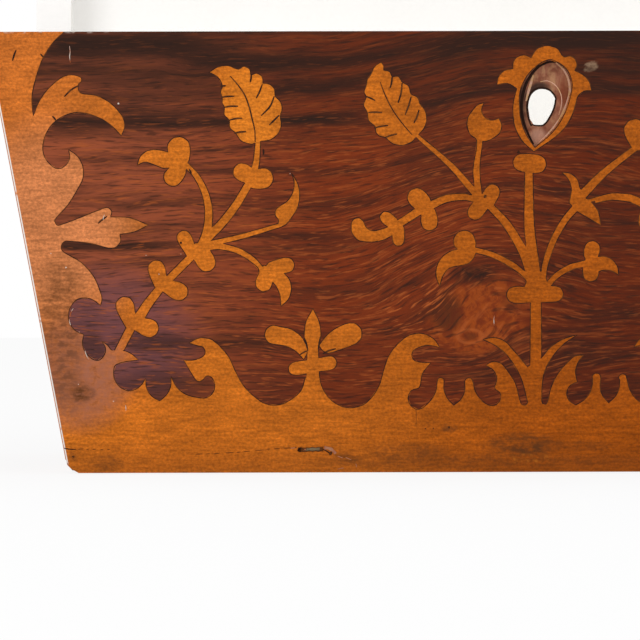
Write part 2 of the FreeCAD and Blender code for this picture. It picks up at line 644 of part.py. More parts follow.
os.makedirs("parts", exist_ok=True)
for name, shape in parts.items():
    shape.exportStep("parts/" + name + ".step")
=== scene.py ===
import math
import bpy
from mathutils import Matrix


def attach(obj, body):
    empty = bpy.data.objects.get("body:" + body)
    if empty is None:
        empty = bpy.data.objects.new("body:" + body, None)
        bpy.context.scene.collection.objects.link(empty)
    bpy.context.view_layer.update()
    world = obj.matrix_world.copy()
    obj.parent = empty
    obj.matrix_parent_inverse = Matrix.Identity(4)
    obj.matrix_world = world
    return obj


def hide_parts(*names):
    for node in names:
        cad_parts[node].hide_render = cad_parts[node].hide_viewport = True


bl_info = {
    "name": "Sarcophagus box looks",
    "version": (1, 0, 0),
    "blender": (4, 5, 0),
    "location": "3D View > Sidebar > Sarcophagus box",
    "description": "Dresses the marquetry box: veneers, saw lines, wear, lining, hinges and stage",
    "category": "Object",
}

import bmesh
import bpy
from bpy.props import FloatProperty, FloatVectorProperty, PointerProperty
from mathutils import Matrix, Vector, noise
from mathutils.geometry import interpolate_bezier, intersect_point_line

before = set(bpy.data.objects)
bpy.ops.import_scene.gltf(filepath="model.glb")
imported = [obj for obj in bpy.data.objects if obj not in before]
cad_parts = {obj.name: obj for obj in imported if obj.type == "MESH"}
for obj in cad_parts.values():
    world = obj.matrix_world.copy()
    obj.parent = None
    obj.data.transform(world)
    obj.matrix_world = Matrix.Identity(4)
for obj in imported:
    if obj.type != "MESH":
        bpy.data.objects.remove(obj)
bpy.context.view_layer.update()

# Sizes of the case and the lid, in metres, as the frame has them
RIM_WIDTH = 0.3
RIM_DEPTH = 0.2
BODY_HEIGHT = 0.12
OVERHANG = 0.021
LID_OPENING = math.radians(98.0)
HINGE_AXIS = Vector((0.0, 0.0974, 0.12015))
HINGE_FROM_CENTRE = 0.088
SCREW_SPACING = 0.026
SCREW_OFFSET = 0.0043
SCREW_HEAD_RADIUS = 0.0015
SLOT_REACH = SCREW_HEAD_RADIUS * 0.9
SLOT_WIDTH = SCREW_HEAD_RADIUS * 0.3
LID_GAP = 0.0003
SLANT = math.hypot(BODY_HEIGHT, OVERHANG)
# Turn of the first screw slot, and from each slot to the next, in radians
SLOT_TURN = 0.5
NEXT_SLOT_TURN = 0.9
# The way in which the grain of a mitred frame runs, among the three axes
MITRED = -1
SPRAYS = ("front_palmettes", "front_left_spray", "front_centre_spray", "front_right_spray")

# Outward normals of the panels, with the lid open as it rests
FRONT = Vector((0.0, -BODY_HEIGHT, -OVERHANG)) / SLANT
LEFT = Vector((-BODY_HEIGHT, 0.0, -OVERHANG)) / SLANT
RIGHT = Vector((BODY_HEIGHT, 0.0, -OVERHANG)) / SLANT
LID_TURN = Matrix.Rotation(-LID_OPENING, 4, "X")
LID_TOP = (LID_TURN @ Vector((0.0, 0.0, 1.0))).normalized()

# Where the front panel lies in the photograph, in pixels
RIM_ROW = 32.0
BASE_ROW = 474.0
RIM_AXIS = 540.0
BASE_AXIS = 536.0
RIM_EDGE = -16.5
BASE_EDGE = 68.6
NEARNESS = 1.021
# A photo pixel on the front, in metres
PIXEL = SLANT / (BASE_ROW - RIM_ROW)

# Smoothing of the sawn outlines
WELD = 1e-5
FACING = 0.99
CUSP = math.radians(66.0)
CURVE_STEPS = 5
OUTLINE_MARGIN = 0.0014
SHARED_GAP = 0.00006
SHARED_REACH = 0.0004

# Ragged edges of lines and specks, and the arc of the sine that a tapering line follows
WAVER_FINENESS = 900.0
SPECK_FINENESS = 4000.0
SPECK_DEPTH = 0.6
SPECK_CORNERS = 9
TAPER_START = 0.12
TAPER_SPAN = 0.76
TAPERED_SHARE = 0.35
# Heights of the lines on the front, in lifts
CRACK_LAYER = 2
MARK_LAYER = 3

# Leaf veins in photo pixels, root to tip of each saw cut
SERRATED_MIDRIB = ((230, 77), (237, 85), (244, 95), (249, 108), (252, 120), (254.5, 131), (255, 143))
SERRATED_CUTS = (
    ((251, 75), (250.8, 79), (250, 83)),
    ((262, 85), (259.5, 92), (256, 99)),
    ((274, 97), (270, 107), (261, 116.5)),
    ((279, 116), (274, 121), (269, 126)),
    ((220, 87), (222.5, 86.6), (225.5, 86.5)),
    ((221, 98), (227.5, 97.2), (234, 97)),
    ((224, 108), (231, 107), (238, 107)),
    ((229, 121), (235.5, 119.4), (242, 119)),
    ((234, 134), (240, 132.8), (246, 132.5)),
)
UPRIGHT_MIDRIB = ((380, 83), (385, 96), (392, 110), (401, 123), (412, 136))
UPRIGHT_CUTS = (
    ((392, 78), (391.5, 83.5), (390, 89)),
    ((402, 84), (401, 94), (398, 104)),
    ((411, 98), (408.5, 107), (405, 116)),
    ((419, 111), (417, 117.5), (414, 124)),
    ((366, 97.5), (370.5, 99.2), (375, 101.5)),
    ((368, 113.5), (375, 113.2), (382, 113.5)),
    ((374, 129), (381, 127.4), (388, 126.5)),
    ((385, 138.5), (391, 136.5), (397, 135)),
)
BORDER_CUTS = (
    ((64, 97), (70.5, 90.5), (78, 86)),
    ((98, 224), (102, 220.5), (107, 217)),
    ((12, 61), (13.6, 55.5), (15.5, 50.5)),
    ((40, 54), (42, 56.5), (44, 58)),
    ((52, 116.5), (54, 118.5), (55.5, 121)),
)
BLOSSOM_CUTS = (
    ((263, 150), (263.4, 153), (263.2, 156)),
    ((189, 170), (190.5, 172.5), (191, 175)),
    ((300, 356), (305, 353), (308, 352)),
    ((308, 352), (306.5, 345), (304.5, 339)),
    ((318.5, 350), (319.5, 344), (320.5, 338)),
    ((323, 355), (329, 352), (336, 350)),
)

# Wear in photo pixels: what is cracked, chipped, scratched and speckled, and the painted glints among the
# scratches and specks
BASE_CRACK = ((65, 449), (69, 449.8), (73, 450.2), (76.5, 450.3))
CRACK_DASHES = (
    (79, 450, 5), (87, 450.2, 3), (93, 450.4, 4), (101, 450.6, 3), (108, 450.5, 3), (196, 455.5, 7),
    (206, 455.3, 4), (214, 455, 6), (226, 454.2, 8), (237, 453.6, 4), (244, 453, 6), (256, 451.7, 8),
    (267, 450.6, 4), (274, 450.2, 6), (284, 449.6, 7), (293, 449.4, 4),
)
BASE_GAP = ((298.3, 451), (303, 451.2), (311, 450.9), (318, 450.8), (323.5, 450.6))
HAIRLINE = ((416.2, 411), (416.5, 418), (416.2, 426))
GAP_END = ((323, 450.6), (327, 452.6), (330, 454.6))
GAP_FILLING = ((303.5, 451), (309, 450.7), (315, 450.6), (320.5, 450.4))
BASE_CHIP = ((324.5, 449.2), (328.5, 449.6), (332.5, 451.4), (336, 455))
BASE_FLECKS = (
    ((338, 457.6), (343, 459.4)),
    ((346, 459), (351.5, 461.2)),
    ((356.2, 465.5), (357, 468.6)),
    ((338, 470.6), (344, 469.4)),
    ((291, 449.6), (295.5, 449.2)),
)
# The worn lower corner at the left in photo pixels, and the way in which the wear runs out behind the front
WORN_CORNER = ((66.5, 461), (68.3, 466), (71.5, 469.3), (80, 472.6), (91, 475))
WEAR_RUNS_OUT = Vector((-0.062, 1.0, -0.042))
# Scratches; the last three are painted glints on the left edges of scallops
SCRATCHES_AND_GLINTS = (
    ((69, 46.5), (69.6, 52), (69.2, 57), (69.8, 63)),
    ((126, 406), (126.4, 409), (126.2, 411.5)),
    ((104.5, 215.5), (103.5, 217.5), (103, 220.5)),
    ((494.6, 317), (494, 321), (494.3, 327)),
    ((73.5, 309), (71.2, 313), (70.4, 317.5)),
    ((69.6, 319.5), (70, 323), (71, 326)),
    ((85.4, 351.5), (86.8, 356), (89, 360)),
)
# Pale specks, and a painted glint in the open joint
SPECKS_AND_GLINTS = (
    (118, 104, 0.825), (66, 268, 0.715), (114, 402, 0.66), (159, 275, 0.495), (181, 255, 0.495),
    (51, 254, 0.55), (290, 174.5, 0.495), (146, 256, 0.44), (79, 385, 0.495), (305.2, 450.9, 1.045),
    (79.5, 332.5, 0.55),
)
DARK_SPECKS = (
    (181, 243.5, 1.2), (74, 457.5, 1.3), (485, 198, 1.6), (518.5, 153.5, 1.5), (449, 429, 1.2),
    (299.6, 451.6, 2.0), (330.8, 454.8, 2.0), (425.4, 430.4, 0.7), (433.5, 430, 0.6),
)

# Streaks of dark wood in photo pixels: row at the left, half height, first column, last column, strength
DARK_STREAKS = (
    (46, 14, 30, 215, 0.95),
    (62, 7, 175, 430, 0.9),
    (68, 11, 420, 700, 0.8),
    (77, 15, 70, 225, 0.5),
    (97, 5, 60, 210, 0.45),
    (121, 6, 20, 365, 0.95),
    (119, 6, 400, 700, 0.85),
    (131, 7, 40, 90, 0.6),
    (157, 2.5, 55, 100, 0.6),
    (170, 3, 195, 340, 0.5),
    (203, 3, 90, 180, 0.35),
    (235, 5, 210, 345, 0.6),
    (244, 5, 35, 185, 0.95),
    (257, 2.5, 140, 180, 0.6),
    (290, 7, 280, 400, 0.4),
    (345, 9, 130, 260, 0.4),
)
# Streaks of light wood, in the same order
LIGHT_STREAKS = (
    (348, 1.2, 146, 170, 0.6),
    (357, 1.0, 168, 192, 0.4),
)
# Spots in photo pixels: column, row, half width, half height and, in the lists, strength
GROUND_SHADOWS = (
    (84, 318, 26, 34, 0.2),
    (92, 350, 18, 24, 0.6),
    (150, 340, 50, 12, 0.5),
    (160, 388, 66, 22, 0.5),
    (600, 60, 90, 40, 0.35),
    (432, 150, 56, 60, 0.4),
    (270, 384, 44, 24, 0.22),
    (465, 52, 60, 26, 0.35),
    (590, 232, 70, 46, 0.22),
)
STAINS = (
    (83, 393, 16.2, 10.8, 0.8),
    (68, 392, 24.3, 29.7, 0.35),
    (108, 464, 21.6, 12.15, 0.5),
    (74, 457, 6.75, 6.75, 0.4),
    (62, 322, 29.7, 86.4, 0.58),
    (522, 446, 48.6, 14.85, 0.7),
    (530, 450, 22.95, 8.1, 0.7),
    (585, 447, 40.5, 6.75, 0.35),
    (480, 463, 216, 9.45, 0.4),
    (449, 429, 10.8, 6.075, 0.6),
    (408, 452, 51.3, 10.8, 0.5),
    (346, 460, 17.55, 8.1, 0.6),
    (46, 262, 24.3, 45.9, 0.18),
)
KNOT_SHADOWS = (
    (447, 312, 20, 26, 0.75),
    (474, 274, 30, 13, 0.85),
    (513, 300, 16, 16, 0.35),
)
KNOT_HEART = (470, 336, 16, 9)
# Where the painted glints gather beside the knot
KNOT_GLINTS = (420, 308, 46, 34)
# Where the painted hazy reflection lies at the lower left
HAZY_REFLECTION_PATCH = (100, 345, 120, 95)
# Where the painted pink reflection lies on the left border
PINK_REFLECTION_PATCH = (50, 228, 110, 130)
BRIGHT_LEAF = (250, 108, 44, 54)
WORN_PATCH = (78, 372, 66, 70)
BARE_FLECKS = (531, 461, 36, 7)
KEYHOLE = (541.5, 109, 14, 20)
BED_STAIN = (566, 92, 9, 22)
BED_FOOT = (539, 139, 12, 14)

# The knot of the ground, the climb of its grain and its rubbed spot, in photo pixels
KNOT = (480, 316)
KNOT_REACH = 62
KNOT_OVAL = (0, 0, 52, 40)
GRAIN_CLIMB = 30.0
CLIMB_COLUMNS = (320.0, 535.0)
RUBBED_SPOT = (591.5, 67)
RUBBED_OVAL = (0, 0, 12, 8)

# Heights in metres between which the lining has kept its colour, and over which it yellows beyond them
CLEAN_PAPER = (0.09, 0.151)
AGEING_REACH = 0.025

# What the finishes share
BUMP_STRENGTH = 0.6
COAT_ROUGHNESS = 0.12

# Depths in metres of the lost escutcheon's bed, and between which painted shade darkens the keyhole's bore
BED_DEPTH = 0.0021
BORE_SHADE_DEPTHS = (0.0036, 0.0046)
# The bed in photo pixels: the painted shade on its wall, the painted highlights on its edges and the painted
# shade round the rim of the keyhole
BED_SHADE = (
    (557, 62.6), (548, 63.2), (538, 68.5), (528.5, 81), (523.5, 95), (522, 108), (523.5, 120), (527, 131),
    (534, 145.5),
)
BED_GLEAM = ((534, 76), (531.5, 84), (529, 92.5), (526.8, 102))
BED_LIP_HIGHLIGHT = (
    (556.5, 63.5), (565, 71.5), (569.6, 82), (570.4, 93), (567, 106), (560, 120.5), (548.5, 135),
    (538.5, 145),
)
BED_RIDGE_HIGHLIGHT = ((541, 82.5), (548.5, 81.8), (556.5, 86.5), (561.5, 95), (562.3, 105), (559.5, 116))
KEYHOLE_RIM_SHADE = (
    (532, 127), (529.2, 119), (527.8, 107), (530.4, 96), (536.3, 90.2), (543, 88.8), (550.3, 91),
    (555.4, 96.5),
)
KEYHOLE_FOOT_SHADE = (
    (552, 92), (556.1, 97.5), (556.3, 101.5), (554.6, 109.4), (550.8, 117.6), (544.6, 125.8), (538, 126.6),
    (532.5, 125.6),
)

# The stage in metres: the floor, the lamps with place, share of the power and size, and where they point
WHITE = (1.0, 1.0, 1.0, 1.0)
FLOOR_SIZE = 8.0
FLOOR_DROP = 0.0002
FLOOR_COLOUR = (0.86, 0.86, 0.86, 1.0)
FLOOR_GLOW = 0.86
LAMPS = (
    ("key_light", (-1.25, -1.35, 1.0), 1.0, 1.0),
    ("fill_light", (0.9, -1.6, 0.9), 0.25, 1.4),
)
LAMP_AIM = Vector((0.0, -0.1, 0.06))
VIEW_REACH = 20.0
# Width of the camera's sensor, in millimetres
SENSOR_WIDTH = 36.0


def srgb(red, green, blue):
    """A colour of 0 to 255 as the linear colour that a shader takes."""
    shares = [value / 255 for value in (red, green, blue)]
    return tuple(s / 12.92 if s <= 0.04045 else ((s + 0.055) / 1.055) ** 2.4 for s in shares) + (1.0,)


def colour_property(name, description, *levels):
    return FloatVectorProperty(
        name=name, description=description, subtype="COLOR", size=4, min=0.0, max=1.0, default=srgb(*levels))


class BoxLooks(bpy.types.PropertyGroup):
    """Colours of the woods, the paper and the brass."""
    rosewood_dark: colour_property("Dark rosewood", "Almost black streaks of the ground", 42, 25, 18)
    rosewood_left: colour_property("Left rosewood", "Middle tone of the ground at the left", 143, 72, 45)
    rosewood_middle: colour_property("Middle rosewood", "Middle tone of the ground by the knot", 119, 47, 17)
    rosewood_right: colour_property("Right rosewood", "Middle tone of the ground at the right", 97, 36, 12)
    # Pale fibres, streaks and heart of the ground, and the colour of the painted glints on its grain
    pale_rosewood_and_glint: colour_property("Light rosewood", "Light fibres of the ground", 170, 86, 38)
    knot_light: colour_property("Knot", "Orange wood of the knot", 160, 74, 22)
    # Painted hazy reflection of the white surroundings on the polish at the lower left
    hazy_reflection: colour_property("Haze", "Dull purplish polish at the lower left", 108, 70, 79)
    satinwood_left: colour_property("Left satinwood", "Pale wood at the left", 188, 102, 36)
    # Painted pink reflection on the satinwood half-way up the left edge
    satinwood_pink_reflection: colour_property("Pinkish satinwood", "Pale wood half-way up the left edge", 197, 121, 73)
    satinwood_middle: colour_property("Middle satinwood", "Golden pale wood of the marquetry", 189, 103, 25)
    satinwood_right: colour_property("Right satinwood", "Deep orange pale wood at the right", 157, 77, 9)
    satinwood_bright: colour_property("Bright satinwood", "Golden pale wood of the first leaf", 208, 118, 30)
    satinwood_worn: colour_property("Worn satinwood", "Rubbed pale wood at the lower left", 158, 99, 76)
    satinwood_shade: colour_property("Satinwood shade", "Stained and shaded pale wood", 92, 52, 22)
    # Glue and dirt in the saw kerfs; also the near-black of the painted shadow under the keyhole's lip and of
    # the bed's painted shade
    saw_line: colour_property("Saw line", "Glue and dirt in the saw kerfs", 46, 26, 18)
    # Bare chips and the painted highlight along the rounded side edges of the front
    worn_edge_and_highlight: colour_property("Worn edge", "Bare polished edges and scratches", 232, 226, 220)
    # Light scratches, chips and specks, and the painted glints among them
    scratch_and_glint: colour_property("Scratch", "Light scratches and specks", 206, 190, 176)
    rubbed: colour_property("Rubbed ground", "Polish that is rubbed off beside the keyhole", 152, 124, 98)
    chip: colour_property("Chip", "Bare wood in the chipped joint", 170, 120, 92)
    filling: colour_property("Filling", "Grey dirt in the open joint", 122, 106, 80)
    raw_wood: colour_property("Raw wood", "Planed softwood of the carcass", 196, 152, 106)
    bed_wood: colour_property("Bed wood", "Raw wood in the bed of the lost escutcheon", 146, 90, 66)
    # Pale wood at the foot of the bed, and the painted highlights on the bed's edges
    pale_bed_and_highlight: colour_property("Bed edge", "Light torn edge of the bed", 206, 160, 136)
    paper: colour_property("Paper", "Pale paper of the lining", 250, 249, 247)
    toned_paper: colour_property("Toned paper", "Paper that has yellowed with age", 236, 224, 200)
    foxing: colour_property("Foxing", "Brown spots on the old paper", 196, 160, 112)
    brass: colour_property("Brass", "Worn brass of the hinges", 178, 136, 66)


class BoxSizes(bpy.types.PropertyGroup):
    """Sizes of the fine lines that are laid on the veneers."""
    saw_line: FloatProperty(
        name="Saw line", description="Width of the dark line round an inlay", unit="LENGTH", default=0.00024)
    vein: FloatProperty(
        name="Vein", description="Width of a sawn leaf vein", unit="LENGTH", default=0.00048)
    paper_strip: FloatProperty(
        name="Paper strip", description="Width of the strips over the joints of the lining", unit="LENGTH",
        default=0.0012)
    lift: FloatProperty(
        name="Lift", description="Height of a line over its veneer", unit="LENGTH", default=0.00003)


class StageSettings(bpy.types.PropertyGroup):
    """The camera and the light."""
    camera_place: FloatVectorProperty(
        name="Camera place", description="Where the camera stands", subtype="TRANSLATION",
        default=(-0.0661, -1.0895, 0.04203))
    camera_yaw: FloatProperty(
        name="Camera yaw", description="Turn of the camera to the right", subtype="ANGLE",
        default=math.radians(0.379))
    camera_roll: FloatProperty(
        name="Camera roll", description="Roll of the camera", subtype="ANGLE", default=math.radians(-0.134))
    camera_lens: FloatProperty(
        name="Camera lens", description="Focal length on a 36 mm sensor", subtype="DISTANCE_CAMERA",
        default=206.2)
    key_power: FloatProperty(
        name="Key light", description="Power of the soft light at the left", subtype="POWER", default=12.0)
    ambient: FloatProperty(
        name="Ambient light", description="Strength of the white surroundings", default=0.84)


# Shader maths

class Socket:
    """A socket of a finish, with its sums written as Python expressions."""

    def __init__(self, finish, socket):
        self.finish = finish
        self.socket = socket

    def math(self, operation, first, second):
        return self.finish.node("ShaderNodeMath", {"operation": operation}, {0: first, 1: second})

    def __add__(self, other):
        return self.math("ADD", self, other)

    __radd__ = __add__

    def __sub__(self, other):
        return self.math("SUBTRACT", self, other)

    def __rsub__(self, other):
        return self.math("SUBTRACT", other, self)

    def __mul__(self, other):
        return self.math("MULTIPLY", self, other)

    __rmul__ = __mul__

    def __truediv__(self, other):
        return self.math("DIVIDE", self, other)

    def __abs__(self):
        return self.math("ABSOLUTE", self, 0.0)

    def larger(self, other):
        return self.math("MAXIMUM", self, other)

    def rise(self, low, high):
        """0 at low and 1 at high, with a soft step between them."""
        values = {"Value": self, "From Min": low, "From Max": high}
        return self.finish.node("ShaderNodeMapRange", {"interpolation_type": "SMOOTHSTEP"}, values)


class Finish:
    """A node tree of a material or the world, and the one method that adds nodes to it."""

    def __init__(self, owner):
        owner.use_nodes = True
        self.owner = owner
        self.tree = owner.node_tree
        self.tree.nodes.clear()
        self.colour = None

    def node(self, kind, settings=None, values=None, output=0):
        made = self.tree.nodes.new(kind)
        for key, value in (settings or {}).items():
            setattr(made, key, value)
        for key, value in (values or {}).items():
            if isinstance(value, Socket):
                self.tree.links.new(value.socket, made.inputs[key])
            else:
                made.inputs[key].default_value = value
        return Socket(self, made.outputs[output]) if len(made.outputs) else None

    def place(self):
        """The object coordinates, as three numbers in metres."""
        where = self.node("ShaderNodeTexCoord", output=3)
        return [self.node("ShaderNodeSeparateXYZ", None, {0: where}, axis) for axis in range(3)]

    def stretched(self, *scales):
        """The object coordinates, each times its own scale."""
        return [value * scale for value, scale in zip(self.place(), scales)]

    def front_place(self):
        """Way across the front from -1 to 1, share of its height, and its half width in photo pixels."""
        x, z = self.place()[::2]
        share = z / BODY_HEIGHT
        half = share * OVERHANG + (RIM_WIDTH / 2 - OVERHANG)
        span = share * (RIM_AXIS - RIM_EDGE - BASE_AXIS + BASE_EDGE) + (BASE_AXIS - BASE_EDGE)
        return x / half, share, span

    def photo_place(self):
        """Column and row in photo pixels of a point of the front."""
        across, share, span = self.front_place()
        column = across * span + share * (RIM_AXIS - BASE_AXIS) + BASE_AXIS
        return column, BASE_ROW - share * (BASE_ROW - RIM_ROW)

    def from_edge(self):
        """Photo pixels between a point of the front and the side edge."""
        across, _, span = self.front_place()
        return (1.0 - abs(across)) * span

    def noise(self, place, detail=3.0, roughness=0.55, distortion=0.0):
        """Noise at a place of two or three coordinates."""
        where = self.node("ShaderNodeCombineXYZ", None, dict(enumerate(place)))
        values = {
            "Vector": where, "Scale": 1.0, "Detail": detail, "Roughness": roughness, "Distortion": distortion}
        return self.node("ShaderNodeTexNoise", None, values)

    def mix(self, share, low, high):
        return self.node("ShaderNodeMix", {"data_type": "RGBA"}, {0: share, 6: low, 7: high}, 2)

    def tint(self, share, tone):
        """Mixes a share of a tone into the colour so far."""
        self.colour = self.mix(share, self.colour, tone)

    def shade(self, grey):
        """Darkens or lightens the colour so far."""
        settings = {"data_type": "RGBA", "blend_type": "MULTIPLY"}
        self.colour = self.node("ShaderNodeMix", settings, {0: 1.0, 6: self.colour, 7: grey}, 2)

    def oval(self, column, row, spot):
        """0 in the middle of an oval spot, 1 on its outline and more beyond it."""
        across = (column - spot[0]) / spot[2]
        down = (row - spot[1]) / spot[3]
        return across * across + down * down

    def spot(self, column, row, spot):
        """1 in the middle of an oval spot and 0 at its edge."""
        return self.oval(column, row, spot).rise(1.0, 0.1)

    def tint_spots(self, column, row, spots, texture, tone):
        """Mixes a tone into the colour so far at each spot of a list."""
        for spot in spots:
            self.tint(self.spot(column, row, spot) * texture * spot[4], tone)

    def background_rays(self):
        """1 for the rays that show the pale background: seen, mirrored or let through."""
        seen, reflected, through = [self.node("ShaderNodeLightPath", output=index) for index in (0, 3, 6)]
        return seen.larger(reflected).larger(through)

    def surface(self, roughness, height=None, depth=0.0, *, specular, metallic=0.0, coat=0.0):
        """Ends the material with the colour so far."""
        values = {
            "Base Color": self.colour, "Roughness": roughness, "Specular IOR Level": specular,
            "Metallic": metallic, "Coat Weight": coat, "Coat Roughness": COAT_ROUGHNESS}
        if height is not None:
            bump = {"Height": height, "Strength": BUMP_STRENGTH, "Distance": depth}
            values["Normal"] = self.node("ShaderNodeBump", None, bump)
        shader = self.node("ShaderNodeBsdfPrincipled", None, values)
        self.node("ShaderNodeOutputMaterial", None, {"Surface": shader})
        return self.owner


def finish(name, colour=None):
    """A new material, which starts from one colour."""
    made = Finish(bpy.data.materials.new(name))
    made.colour = colour
    return made


def dress(material, *nodes):
    for node in nodes:
        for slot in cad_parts[node].material_slots:
            slot.material = material


# Finishes of the woods

def chip_rim(wood, column, row, looks):
    """Pale chips along the rim."""
    chips = wood.noise((column * 0.09, row * 0.25), 2.0)
    chipped = (row - RIM_ROW).rise(2.2, 0.8) * chips.rise(0.5, 0.64) * column.rise(125, 85)
    wood.tint(chipped * 0.5, looks.scratch_and_glint)


def front_rosewood(looks):
    """The ground of the front: dark streaks, fine pores and grain that parts round a knot, with a painted
    hazy reflection at the lower left and painted glints on the grain.
    """
    wood = finish("front_rosewood", looks.rosewood_left)
    column, row = wood.photo_place()
    across = column - KNOT[0]
    down = row - KNOT[1]
    square = across * across + down * down
    wobble = wood.noise((column * 0.007, row * 0.012), 2.0) - 0.5
    climb = column.rise(*CLIMB_COLUMNS) * GRAIN_CLIMB
    flow = down * square / (square + KNOT_REACH ** 2) + climb + wobble * 22.0
    streaks = wood.noise((column * 0.0045, flow * 0.06), 5.0, 0.6)
    fibres = wood.noise((column * 0.018, flow * 0.3, 3.7), 4.0, 0.65)
    pores = wood.noise((column * 0.05, flow * 0.55, 8.1), 2.0, 0.5)
    flecks = wood.noise((column * 0.06, flow * 0.6, 21.4), 2.0, 0.5)

    wood.tint(column.rise(110, 340), looks.rosewood_middle)
    wood.tint(column.rise(430, 590), looks.rosewood_right)
    wood.tint(streaks.rise(0.55, 0.36) * 0.5, looks.rosewood_dark)
    wood.tint(fibres.rise(0.5, 0.72) * 0.42, looks.pale_rosewood_and_glint)
    wood.tint(fibres.rise(0.5, 0.3) * 0.5, looks.rosewood_dark)
    # Painted hazy reflection at the lower left of the ground
    wood.tint(wood.spot(column, row, HAZY_REFLECTION_PATCH) * 0.62, looks.hazy_reflection)
    shaded = (row + climb).rise(150, 95) * (streaks.rise(0.68, 0.36) * 0.5 + 0.3)
    wood.tint(shaded.larger(row.rise(270, 400) * 0.22), looks.rosewood_dark)
    wavy = row + climb + wobble * 12.0
    streaky = streaks * 0.5 + fibres * 0.9
    for streak_row, half_height, first, last, strength in DARK_STREAKS:
        along = column.rise(first - 25, first + 35) * column.rise(last + 45, last - 45)
        mask = abs(wavy - streak_row).rise(half_height * 1.6, half_height * 0.2) * along
        wood.tint(mask * streaky * (1.3 * strength), looks.rosewood_dark)
    for streak_row, half_height, first, last, strength in LIGHT_STREAKS:
        along = column.rise(first - 8, first + 8) * column.rise(last + 8, last - 8)
        mask = abs(row - streak_row).rise(half_height * 1.4, half_height * 0.3) * along
        wood.tint(mask * (fibres + 0.3) * strength, looks.pale_rosewood_and_glint)
    wood.tint_spots(column, row, GROUND_SHADOWS, fibres * 0.7 + 0.5, looks.rosewood_dark)

    ragged = (wood.noise((column * 0.05, row * 0.05, 5.0), 3.0) - 0.5) * 0.8
    knot = (wood.oval(across, down + across * 0.18, KNOT_OVAL) + ragged).rise(1.15, 0.45)
    curl = wood.noise((column * 0.06, row * 0.05, 1.2), 4.0, 0.6, 1.6)
    knotted = wood.mix(curl.rise(0.35, 0.62), looks.rosewood_middle, looks.knot_light)
    wood.tint(knot * 0.72, knotted)
    wood.tint_spots(column, row, KNOT_SHADOWS, curl * 1.6, looks.rosewood_dark)
    heart = wood.oval(column, row, KNOT_HEART)
    wood.tint(abs(heart - 0.6).rise(0.4, 0.05) * 0.6, looks.pale_rosewood_and_glint)
    wood.tint(heart.rise(0.3, 0.05) * curl * 0.8, looks.rosewood_dark)

    wood.tint(pores.rise(0.52, 0.68) * 0.6, looks.rosewood_dark)
    # Painted glints on the grain, strongest beside the knot
    glints = flecks.rise(0.56, 0.7) * (row.rise(60, 200) * 0.8 + 0.2)
    beside_knot = wood.spot(column, row, KNOT_GLINTS)
    wood.tint(glints * (beside_knot * 0.45 + column.rise(600, 520) * 0.25 + 0.25), looks.pale_rosewood_and_glint)
    beside = column - RUBBED_SPOT[0]
    below = row - RUBBED_SPOT[1]
    tatters = wood.noise((column * 0.16, row * 0.24, 17.0), 3.0)
    along_spot = beside * 0.9 - below * 0.44
    across_spot = beside * 0.44 + below * 0.9
    rubbed = wood.spot(along_spot, across_spot, RUBBED_OVAL) + tatters * 1.8 - 1.4
    wood.tint(rubbed.rise(0.0, 1.0) * 0.8, looks.rubbed)
    chip_rim(wood, column, row, looks)
    return wood.surface(fibres * 0.14 + 0.3, pores * 0.6 + fibres * 0.4, 0.00006, specular=0.07, coat=0.02)


def front_satinwood(looks):
    """The pale wood of the front: pinkish at the left with a painted reflection, deeper to the right,
    speckled and stained, with a painted highlight and a painted dark line along the side edges.
    """
    wood = finish("front_satinwood", looks.satinwood_left)
    column, row = wood.photo_place()
    speckle = wood.noise((column * 0.33, row * 0.4), 2.0, 0.6)
    grain = wood.noise((column * 0.045, row * 0.3, 4.0), 3.0, 0.6)
    mottle = wood.noise((column * 0.018, row * 0.03, 9.0), 3.0, 0.5)
    blotches = wood.noise((column * 0.12, row * 0.14, 12.0), 3.0, 0.6)
    streaky = wood.noise((column * 0.06, row * 0.24, 15.0), 4.0, 0.65)

    wood.tint(column.rise(35, 185).larger(row.rise(350, 425)), looks.satinwood_middle)
    # Painted pink reflection half-way up the left border
    wood.tint(wood.spot(column, row, PINK_REFLECTION_PATCH) * 0.9, looks.satinwood_pink_reflection)
    wood.tint(column.rise(270, 540) * (row.rise(100, 420) * 0.35 + 0.65), looks.satinwood_right)
    wood.tint(wood.spot(column, row, BRIGHT_LEAF) * 0.85, looks.satinwood_bright)
    wood.shade(mottle * 0.9 + 0.55)
    wood.shade(grain * 1.2 + 0.4)
    wood.shade(speckle * 1.35 + 0.325)
    worn = wood.spot(column, row, WORN_PATCH)
    wood.tint(worn * (blotches.rise(0.2, 0.75) * 0.5 + 0.45), looks.satinwood_worn)
    wood.tint(worn * blotches.rise(0.46, 0.28) * 0.35, looks.satinwood_shade)
    soaked = (streaky + blotches).rise(0.8, 1.2) * 0.9 + 0.25
    wood.tint_spots(column, row, STAINS, soaked, looks.satinwood_shade)
    bare = wood.spot(column, row, BARE_FLECKS) * blotches.rise(0.48, 0.7)
    wood.tint(bare * 0.7, looks.satinwood_bright)
    wood.tint(row.rise(436, 476) * (mottle * 0.9 + 0.25) * 0.4, looks.satinwood_shade)

    chip_rim(wood, column, row, looks)
    from_edge = wood.from_edge()
    nicks = wood.noise((row * 0.05, column * 0.02, 2.0), 3.0, 0.7)
    # Painted highlight along the rounded side edges, broken by nicks in the arris
    wood.tint(from_edge.rise(2.6, 1.8) * nicks.rise(0.3, 0.42), looks.worn_edge_and_highlight)
    # Painted dark line at the very edge, where the rounded arris turns away from the light
    wood.tint(from_edge.rise(1.2, 0.8) * 0.85, looks.rosewood_dark)
    return wood.surface(grain * 0.12 + 0.3, speckle * 0.5 + grain * 0.5, 0.00004, specular=0.07, coat=0.02)


